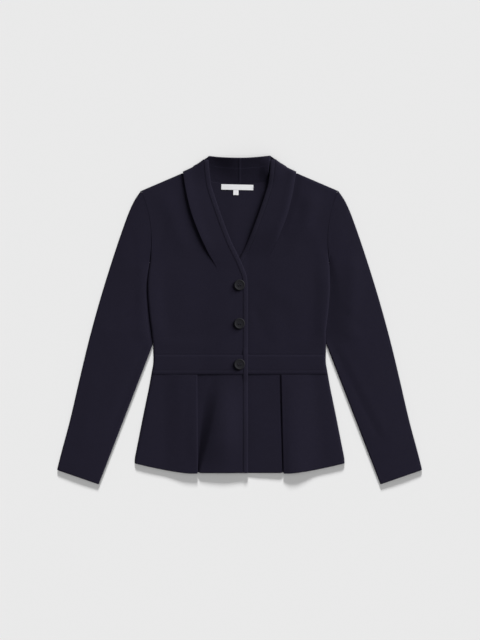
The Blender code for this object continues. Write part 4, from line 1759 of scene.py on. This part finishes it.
SLEEVE_TOP_SHARES = [0.0, 0.0005, 0.003] + spread(0.012, 0.3, 20)
SLEEVE_SHARES = SLEEVE_TOP_SHARES + spread(0.3, 0.985, 46)[1:] + [0.997, 1.0]
SLEEVE_LENGTH = 0.6
SLEEVE_THIN = 2.7
SLEEVE_OUTER_WAY = (-0.9, -0.43)
SLEEVE_INNER_WAY = (0.95, 0.3)
SLEEVE_WAY_LEAD = 0.03
SLEEVE_WAY_RUN = 0.08
SLEEVE_EDGE_ANGLES = (-60.0, -30.0, 0.0, 30.0, 60.0)
SLEEVE_NIP_POWER = 6
CREASE_START_RUN = 0.06
CREASE_END_SHARE = 0.965
CREASE_END_RUN = 0.03
CREASE_MARGIN = 0.06
ARMHOLE_LOW_UP = 432.5
ARMHOLE_HIGH_UP = 575.0
ARMHOLE_LOW_TOP = 2.2
ARMHOLE_HIGH_TOP = 3.2
ARMHOLE_RISE_UP = 440.0
ARMHOLE_RISE_RUN = 20.0
ARMHOLE_ALLOWANCE = 4.0
ARMHOLE_WALL = 0.5


def lean(chord, across_edge, share):
    """Way from a folded edge into the sleeve: along the armhole at first, then across the edge."""
    return (Vector(chord).normalized() * (1.0 - share) + Vector(across_edge) * share).normalized()


def sleeve_ring(half, share):
    """One ring of a flattened sleeve; its inner edge is thin where it lies under the body's side."""
    outer_up = SLEEVE_OUTER_UP.at(share)
    inner_up = SLEEVE_INNER_UP.at(share)
    outer = Vector((SLEEVE_OUTER_LINE.at(outer_up), outer_up))
    inner = Vector((sleeve_inner_out(inner_up), inner_up))
    edge = SLEEVE_EDGE.at(share)
    crown = SLEEVE_CROWN.at(share)
    bow = SLEEVE_BOW.at(share)
    thin = mix(edge, SLEEVE_THIN, beside_sleeve(inner_up))
    drawn = nipped(half, inner_up)
    turned = smooth((share + SLEEVE_WAY_LEAD) / SLEEVE_WAY_RUN)
    outer_way = lean(inner - outer, SLEEVE_OUTER_WAY, turned)
    inner_way = lean(outer - inner, SLEEVE_INNER_WAY, turned)
    start = outer + outer_way * edge / 2.0
    end = inner + inner_way * thin / 2.0
    wide = (end - start).length

    def spot_at(across):
        spot = start.lerp(end, across)
        bowed = 4.0 * bow * across * (1.0 - across)
        return spot.x - bowed - drawn * across ** SLEEVE_NIP_POWER, spot.y

    def bent(corner, way, height, angle, inward=0.0):
        turn = math.radians(angle)
        spot = corner + way * height / 2.0 * (1.0 - math.cos(turn))
        return spot.x - inward, spot.y, height / 2.0 * (1.0 + math.sin(turn))

    ring = [(*spot_at(across), 0.0) for across in spread(0.0, 1.0, 14)]
    ring += [bent(inner, inner_way, thin, angle, drawn) for angle in SLEEVE_EDGE_ANGLES]
    steady = smooth(share / CREASE_START_RUN) * (1.0 - ramp(share, CREASE_END_SHARE, CREASE_END_RUN))
    for across in spread(1.0, 0.0, 27):
        out, up = spot_at(across)
        top = edge + (crown - edge) * math.sin(math.pi * across)
        top -= (edge - thin) * (1.0 - smooth((1.0 - across) * wide / half.tuck))
        margin = smooth((1.0 - across) / CREASE_MARGIN) * smooth(across / CREASE_MARGIN)
        top += creased(SLEEVE_CREASES, half.sign, out, up) * steady * margin
        ring.append((out, up, top))
    ring += [bent(outer, outer_way, edge, angle) for angle in reversed(SLEEVE_EDGE_ANGLES)]
    return ring + ring[:1]


def make_sleeve(half):
    rings = []
    for share in SLEEVE_SHARES:
        line = []
        for (out, up, top), run in measured(sleeve_ring(half, share)):
            line.append((place(half.sign, out, up, top), run * MM, share * SLEEVE_LENGTH))
        rings.append(line)
    name = half.name + "_sleeve"
    return tube(name, rings, body_knit(), "sleeve_" + half.name, size("sleeve_wall"))


def make_armhole(half):
    """Seam allowance inside the armhole, under the edges of the front and the sleeve."""
    asides = spread(-ARMHOLE_ALLOWANCE, ARMHOLE_ALLOWANCE, 5)
    points = []
    for up in spread(ARMHOLE_LOW_UP, ARMHOLE_HIGH_UP, 32):
        top = mix(ARMHOLE_LOW_TOP, ARMHOLE_HIGH_TOP, ramp(up, ARMHOLE_RISE_UP, ARMHOLE_RISE_RUN))
        points.append([laid(half.sign, side_out(up) + aside, up, top) for aside in asides])
    return panel(half.name + "_armhole_seam", [points], body_knit(), ARMHOLE_WALL)


# Binding

BAND_STEP_RUN = 14.0
UPPER_STEP_REACH = 14.0
UNDER_STEP_REACH = 6.0
UNDER_BINDING_PROUD = 0.4
BINDING_ROWS = 128
BINDING_FIRST_UP = 6.0
BINDING_FIRST_ROW = 0.8
BINDING_CLEAR = 0.4
BINDING_NEAR_BEND = 0.7
BINDING_FAR_BEND = 4.2
BINDING_FAR_DROP = 1.5
BINDING_CROWN = 0.12
BINDING_BELOW = 0.3
BINDING_SIDE_DROP = 0.6
BINDING_UNDER_REACH = 1.2


def edge_top(half, up):
    """Upper face of a front's inner edge, from the hem to the lapel."""
    out = front_inner_out(up)
    if up > half.slash_up:
        return lapel_top(half, out, up)
    reach = UPPER_STEP_REACH if half.lap > 0.0 else UNDER_STEP_REACH
    band = ramp(up, BAND_LOW_UP - reach, BAND_STEP_RUN)
    band *= 1.0 - ramp(up, BAND_HIGH_UP - BAND_STEP_RUN + reach, BAND_STEP_RUN)
    top = front_top(half, out, up) + (BAND_TOP - FRONT_TOP + half.band_lap - half.lap) * band
    if up < BAND_LOW_UP:
        top += creased(PEPLUM_CREASES, half.sign, out, up) - creased(FRONT_CREASES, half.sign, out, up)
        top += centre_ridge(half, out, (BAND_LOW_UP - up) / (BAND_LOW_UP - HEM_UP))
    return top


def binding_profile(proud):
    """Section of the folded strip: distance from the front's edge and height above its face."""
    wide = size("binding_width")
    wall = size("cloth_wall")
    near = BINDING_NEAR_BEND
    far = BINDING_FAR_BEND
    lowest = -wall - BINDING_BELOW
    points = [(0.0, -wall), (0.0, -BINDING_SIDE_DROP)]
    for turn in (150.0, 120.0, 90.0):
        angle = math.radians(turn)
        points.append((near + near * math.cos(angle), proud - near * (1.0 - math.sin(angle))))
    for share in (0.33, 0.67):
        points.append((mix(near, wide - far, share), proud + BINDING_CROWN))
    for turn in (90.0, 60.0, 30.0, 0.0, -30.0, -60.0):
        angle = math.radians(turn)
        rise = proud - BINDING_FAR_DROP * (1.0 - math.sin(angle))
        points.append((wide - far + far * math.cos(angle), rise))
    points.append((wide - far * BINDING_UNDER_REACH, lowest))
    return [(width + BINDING_GAP, max(rise, lowest)) for width, rise in points]


def binding_path(half):
    """Points of a front's inner edge, from the hem to the start of its roll under the collar's fold."""
    end = meet(front_inner_out, COLLAR_FOLD_LINE.at, BINDING_END_GUESS_UP)
    ups = [HEM_UP, HEM_UP + BINDING_FIRST_ROW] + spread(BINDING_FIRST_UP, end - SHOULDER_ROLL, BINDING_ROWS)
    path = [Vector((front_inner_out(up), up, edge_top(half, up))) for up in ups]
    for turn in ROLL[:3]:
        angle = math.radians(turn)
        up = end - SHOULDER_ROLL + SHOULDER_ROLL * math.sin(angle)
        out = front_inner_out(up)
        top = rolled(edge_top(half, up), lapel_seam_top(half, out), 0.0, 0.0, angle)
        path.append(Vector((out - BINDING_CLEAR * math.sin(angle), up, top)))
    return path


def make_binding(half):
    path = binding_path(half)
    profile = binding_profile(UNDER_BINDING_PROUD if half.lap < 0.0 else size("binding_proud"))
    rings = []
    length = 0.0
    for step, spot in enumerate(path):
        before = path[max(step - 1, 0)]
        after = path[min(step + 1, len(path) - 1)]
        along = (after - before).normalized()
        inward = Vector((-along.y, along.x, half.slant * neck_rise(spot.y))).normalized()
        above = along.cross(inward).normalized()
        length += (spot - before).length
        ring = []
        for (width, proud), run in measured(profile + profile[:1]):
            point = spot + inward * width + above * proud
            ring.append((place(half.sign, point.x, point.y, point.z), run * MM, length * MM))
        rings.append(ring)
    return tube(half.name + "_binding", rings, binding_knit(), "binding_" + half.name)


# Buttons

BUTTON_OVER_BAND = 0.4
BUTTON_OVER_CLOTH = 1.1
BUTTON_STEPS = 64
BUTTON_SHARP_ANGLE = 40.0
DRILL_SIDES = 20
DRILL_LENGTH = 0.02
THREAD_STRANDS = (-0.42, 0.0, 0.42)
THREAD_ARCH = (
    Arch(-1.1, -0.6),
    Arch(-1.0, 2.2),
    Arch(-0.8, 2.9),
    Arch(0.0, 3.1),
    Arch(0.8, 2.9),
    Arch(1.0, 2.2),
    Arch(1.1, -0.6),
)


def button_base(button):
    half = HALVES[0]
    if BAND_LOW_UP < button.up < BAND_HIGH_UP:
        base = band_middle_top(half, 0.0) + BUTTON_OVER_BAND
    else:
        base = front_top(half, 0.0, button.up)
    return place(1, 0.0, button.up, base + BUTTON_OVER_CLOTH)


def drill_hole(piece, across, along):
    """Cuts one of a button's four holes."""
    drill = bmesh.new()
    radius = BUTTON_HOLE_RADIUS * MM
    aside = Vector((across, along, 0.0)) * BUTTON_HOLE_SPREAD * MM
    bmesh.ops.create_cone(
        drill,
        cap_ends=True,
        segments=DRILL_SIDES,
        radius1=radius,
        radius2=radius,
        depth=DRILL_LENGTH,
    )
    bmesh.ops.translate(drill, verts=drill.verts[:], vec=aside)
    mesh = bpy.data.meshes.new("drill")
    drill.to_mesh(mesh)
    drill.free()
    cutter = bpy.data.objects.new("drill", mesh)
    bpy.context.scene.collection.objects.link(cutter)
    cutter.matrix_world = piece.matrix_world
    bpy.context.view_layer.update()
    cut = piece.modifiers.new("hole", "BOOLEAN")
    cut.operation = "DIFFERENCE"
    cut.solver = "EXACT"
    cut.object = cutter
    bpy.context.view_layer.objects.active = piece
    bpy.ops.object.modifier_apply(modifier=cut.name)
    bpy.data.objects.remove(cutter)


def make_button(button):
    scale = size("button_radius") / max(turn.radius for turn in BUTTON_TURNS)
    work = bmesh.new()
    verts = [work.verts.new((turn.radius * scale * MM, 0.0, turn.top * MM)) for turn in BUTTON_TURNS]
    edges = [work.edges.new(pair) for pair in zip(verts, verts[1:])]
    bmesh.ops.spin(
        work,
        geom=verts + edges,
        cent=(0.0, 0.0, 0.0),
        axis=(0.0, 0.0, 1.0),
        angle=2.0 * math.pi,
        steps=BUTTON_STEPS,
        use_merge=True,
    )
    bmesh.ops.remove_doubles(work, verts=work.verts[:], dist=MERGE)
    bmesh.ops.recalc_face_normals(work, faces=work.faces[:])
    piece = finish_piece("horn_" + button.name, work, horn_material(), button.name)
    piece.location = button_base(button)
    piece.rotation_euler.z = math.radians(button.turn)
    bpy.context.view_layer.update()
    for across, along in ((1, 1), (1, -1), (-1, 1), (-1, -1)):
        drill_hole(piece, across, along)
    piece.data.set_sharp_from_angle(angle=math.radians(BUTTON_SHARP_ANGLE))
    return piece


def make_button_thread(button):
    """Two bars of thread that hold a button through its holes."""
    work, layer = new_work()
    base = button_base(button)
    turn = math.radians(button.turn)
    for bar in (-1, 1):
        for strand in THREAD_STRANDS:
            across = (bar * BUTTON_HOLE_SPREAD + strand) * MM
            path = []
            for spot in THREAD_ARCH:
                reach = spot.along * BUTTON_HOLE_SPREAD * MM
                x = across * math.cos(turn) - reach * math.sin(turn)
                y = across * math.sin(turn) + reach * math.cos(turn)
                path.append(base + Vector((x, y, spot.top * MM)))
            add_strand(work, layer, path, size("thread_radius") * MM)
    return finish_threads("thread_" + button.name, work, thread_material())


# Neck label and size tab

LABEL_TOP_UP = BACK_NECK_UP - 0.8
TAB_TOP_UP = LABEL_TOP_UP - LABEL_HEIGHT - 0.2
LABEL_WAVE = 0.12
TAB_WAVE = 0.1
TAPE_WAVES_ACROSS = 9.0
TAPE_WAVES_DOWN = 2.0
TAPE_WALL = 0.6
TAPE_TOP = 1.0
TAPE_ROWS = [0.0, 0.04] + spread(0.12, 0.88, 6) + [0.96, 1.0]
TAPE_COLUMNS = [0.0, 0.01] + spread(0.04, 0.96, 24) + [0.99, 1.0]
TAPE_STITCHES = 4
TAPE_STITCH_SHARES = (0.0, 0.2, 0.5, 0.8, 1.0)
TAPE_STITCH_INSET = 1.6
TAPE_STITCH_START = 1.4
TAPE_STITCH_PITCH = 2.5
TAPE_STITCH_LENGTH = 1.7
TAPE_STITCH_TOP = 0.95
TAPE_STITCH_ARCH = 0.25
TAPE_STITCH_RADIUS = 0.2
TAPE_STITCH_SIDES = 6


def tape_spot(out, top_up, aside, down):
    """Place on a tape that is turned a little about the middle of its top edge."""
    tilt = math.radians(LABEL_TILT)
    x = out + aside * math.cos(tilt) - down * math.sin(tilt)
    y = top_up - aside * math.sin(tilt) - down * math.cos(tilt)
    return x, y


def make_tape(name, node, out, top_up, width, height, wave):
    """A bare woven tape."""
    points = []
    for low in TAPE_ROWS:
        down = low * height
        line = []
        for across in TAPE_COLUMNS:
            aside = (across - 0.5) * width
            x, y = tape_spot(out, top_up, aside, down)
            turn = across * TAPE_WAVES_ACROSS + low * TAPE_WAVES_DOWN
            top = back_top(x, y) + TAPE_TOP + wave * math.sin(turn) * low
            line.append((place(1, x, y, top), aside * MM, -down * MM))
        points.append(line)
    return panel(name, [points], tape_material(), TAPE_WALL, node)


def make_tape_stitches():
    """White stitches down the two ends of the label."""
    work, layer = new_work()
    for end in (-1, 1):
        aside = end * (LABEL_WIDTH / 2.0 - TAPE_STITCH_INSET)
        for number in range(TAPE_STITCHES):
            path = []
            for share in TAPE_STITCH_SHARES:
                down = TAPE_STITCH_START + number * TAPE_STITCH_PITCH + share * TAPE_STITCH_LENGTH
                x, y = tape_spot(LABEL_OUT, LABEL_TOP_UP, aside, down)
                top = back_top(x, y) + TAPE_STITCH_TOP + TAPE_STITCH_ARCH * math.sin(math.pi * share)
                path.append(place(1, x, y, top))
            add_strand(work, layer, path, TAPE_STITCH_RADIUS * MM, TAPE_STITCH_SIDES)
    return finish_threads("label_stitches", work, tape_material())


# Stage

FLOOR_REACH = 6.0
CAMERA_PLACE = (0.0009, 0.0006, 3.652)
WINDOW = Sun("window", 5.0, 10.0, 90.0, 18.7)
CEILING = Sun("ceiling", 0.8, 60.0, 90.0, 90.0)
LAMP = Sun("lamp", 4.8, 46.0, 40.0, 27.0)
SUN_DISTANCE = 2.0
ROOM_LIGHT = 0.2
BACKDROP = (0.81, 0.81, 0.81, 1.0)


# Operators

class JACKET_OT_stage(bpy.types.Operator):
    """Makes the floor, the lamps and the camera that looks straight down"""

    bl_idname = "jacket.stage"
    bl_label = "Stage"

    def execute(self, context):
        scene = context.scene
        work = bmesh.new()
        bmesh.ops.create_grid(work, x_segments=8, y_segments=8, size=FLOOR_REACH)
        mesh = bpy.data.meshes.new("floor")
        work.to_mesh(mesh)
        work.free()
        floor = bpy.data.objects.new("floor", mesh)
        scene.collection.objects.link(floor)
        material, _, shader = new_material("pale floor")
        shader.inputs["Base Color"].default_value = (*colour("floor"), 1.0)
        shader.inputs["Roughness"].default_value = 1.0
        shader.inputs["Specular IOR Level"].default_value = 0.0
        mesh.materials.append(material)

        camera_data = bpy.data.cameras.new("camera")
        camera_data.lens = 100.0
        camera_data.sensor_width = 36.0
        camera_data.sensor_fit = "AUTO"
        camera_data.clip_end = 50.0
        camera = bpy.data.objects.new("camera", camera_data)
        camera.location = CAMERA_PLACE
        scene.collection.objects.link(camera)
        scene.camera = camera

        floor_only = bpy.data.collections.new("floor_only")
        floor_only.objects.link(floor)
        self.add_sun(scene, WINDOW, floor_only)
        self.add_sun(scene, CEILING, floor_only)
        self.add_sun(scene, LAMP, lit_collection())

        world = bpy.data.worlds.new("studio")
        world.use_nodes = True
        nodes = world.node_tree
        soft = nodes.nodes["Background"]
        soft.inputs["Color"].default_value = (1.0, 1.0, 1.0, 1.0)
        soft.inputs["Strength"].default_value = ROOM_LIGHT
        seen = nodes.nodes.new("ShaderNodeBackground")
        seen.inputs["Color"].default_value = BACKDROP
        path = nodes.nodes.new("ShaderNodeLightPath")
        pick = nodes.nodes.new("ShaderNodeMixShader")
        nodes.links.new(path.outputs["Is Camera Ray"], pick.inputs[0])
        nodes.links.new(soft.outputs[0], pick.inputs[1])
        nodes.links.new(seen.outputs[0], pick.inputs[2])
        nodes.links.new(pick.outputs[0], nodes.nodes["World Output"].inputs["Surface"])
        scene.world = world
        scene.view_settings.view_transform = "Standard"
        scene.view_settings.look = "None"
        return {"FINISHED"}

    @staticmethod
    def add_sun(scene, sun, receivers):
        """A soft sun: azimuth turns from the right of the picture to its top."""
        data = bpy.data.lights.new(sun.name, "SUN")
        data.energy = sun.strength
        data.angle = math.radians(sun.angle)
        lamp = bpy.data.objects.new(sun.name, data)
        turn = math.radians(sun.azimuth)
        rise = math.radians(sun.elevation)
        way = Vector((math.cos(rise) * math.cos(turn), math.cos(rise) * math.sin(turn), math.sin(rise)))
        lamp.rotation_euler = way.to_track_quat("Z", "Y").to_euler()
        lamp.location = way * SUN_DISTANCE
        scene.collection.objects.link(lamp)
        lamp.light_linking.receiver_collection = receivers


class JACKET_OT_back(bpy.types.Operator):
    """Makes the back bodice, the back waistband and the back peplum"""

    bl_idname = "jacket.back"
    bl_label = "Back"

    def execute(self, context):
        back = make_back()
        band = make_back_band()
        peplum = make_back_skirt()
        return {"FINISHED"}


class JACKET_OT_fronts(bpy.types.Operator):
    """Makes the two fronts with their lapels, and the strips that bind their edges"""

    bl_idname = "jacket.fronts"
    bl_label = "Fronts and bindings"

    def execute(self, context):
        for half in HALVES:
            front = make_front(half)
            binding = make_binding(half)
        return {"FINISHED"}


class JACKET_OT_waistbands(bpy.types.Operator):
    """Makes the two halves of the front waistband and their stitches"""

    bl_idname = "jacket.waistbands"
    bl_label = "Waistbands"

    def execute(self, context):
        for half in HALVES:
            band = make_band(half)
            stitches = make_band_stitches(half)
        return {"FINISHED"}


class JACKET_OT_peplums(bpy.types.Operator):
    """Makes the two halves of the front peplum with their knife pleats"""

    bl_idname = "jacket.peplums"
    bl_label = "Peplums"

    def execute(self, context):
        for half in HALVES:
            peplum = make_peplum(half)
        return {"FINISHED"}


class JACKET_OT_collars(bpy.types.Operator):
    """Makes the two halves of the back-neck collar"""

    bl_idname = "jacket.collars"
    bl_label = "Collars"

    def execute(self, context):
        for half in HALVES:
            collar = make_collar(half)
        return {"FINISHED"}


class JACKET_OT_sleeves(bpy.types.Operator):
    """Makes the two sleeves and the seam allowances inside their armholes"""

    bl_idname = "jacket.sleeves"
    bl_label = "Sleeves"

    def execute(self, context):
        for half in HALVES:
            sleeve = make_sleeve(half)
            seam = make_armhole(half)
        return {"FINISHED"}


class JACKET_OT_buttons(bpy.types.Operator):
    """Makes the three buttons and the thread that holds them"""

    bl_idname = "jacket.buttons"
    bl_label = "Buttons"

    def execute(self, context):
        for button in BUTTONS:
            make_button(button)
            make_button_thread(button)
        return {"FINISHED"}


class JACKET_OT_labels(bpy.types.Operator):
    """Makes the bare neck label, the bare size tab and the label's stitches"""

    bl_idname = "jacket.labels"
    bl_label = "Labels"

    def execute(self, context):
        label_size = (LABEL_WIDTH, LABEL_HEIGHT, LABEL_WAVE)
        label = make_tape("woven_label", "neck_label", LABEL_OUT, LABEL_TOP_UP, *label_size)
        stitches = make_tape_stitches()
        tab_size = (TAB_WIDTH, TAB_HEIGHT, TAB_WAVE)
        tab = make_tape("woven_tab", "size_tab", TAB_OUT, TAB_TOP_UP, *tab_size)
        return {"FINISHED"}


OPERATORS = (
    JACKET_OT_stage,
    JACKET_OT_back,
    JACKET_OT_collars,
    JACKET_OT_sleeves,
    JACKET_OT_fronts,
    JACKET_OT_waistbands,
    JACKET_OT_peplums,
    JACKET_OT_buttons,
    JACKET_OT_labels,
)


class JACKET_PT_pieces(bpy.types.Panel):
    """Lists the settings and the pieces of the jacket"""

    bl_label = "Knit jacket"
    bl_idname = "JACKET_PT_pieces"
    bl_space_type = "VIEW_3D"
    bl_region_type = "UI"
    bl_category = "Jacket"

    def draw(self, context):
        scene = context.scene
        for settings in (scene.jacket_sizes, scene.jacket_colours):
            box = self.layout.box()
            for key in settings.__annotations__:
                box.prop(settings, key)
        for operator in OPERATORS:
            self.layout.operator(operator.bl_idname)


CLASSES = (JacketSizes, JacketColours, *OPERATORS, JACKET_PT_pieces)


def register():
    for item in CLASSES:
        bpy.utils.register_class(item)
    bpy.types.Scene.jacket_sizes = PointerProperty(type=JacketSizes)
    bpy.types.Scene.jacket_colours = PointerProperty(type=JacketColours)


def unregister():
    del bpy.types.Scene.jacket_colours
    del bpy.types.Scene.jacket_sizes
    for item in reversed(CLASSES):
        bpy.utils.unregister_class(item)


def main():
    register()
    bpy.ops.jacket.stage()
    bpy.ops.jacket.back()
    bpy.ops.jacket.collars()
    bpy.ops.jacket.sleeves()
    bpy.ops.jacket.fronts()
    bpy.ops.jacket.waistbands()
    bpy.ops.jacket.peplums()
    bpy.ops.jacket.buttons()
    bpy.ops.jacket.labels()
    bpy.context.view_layer.update()


if __name__ == "__main__":
    main()
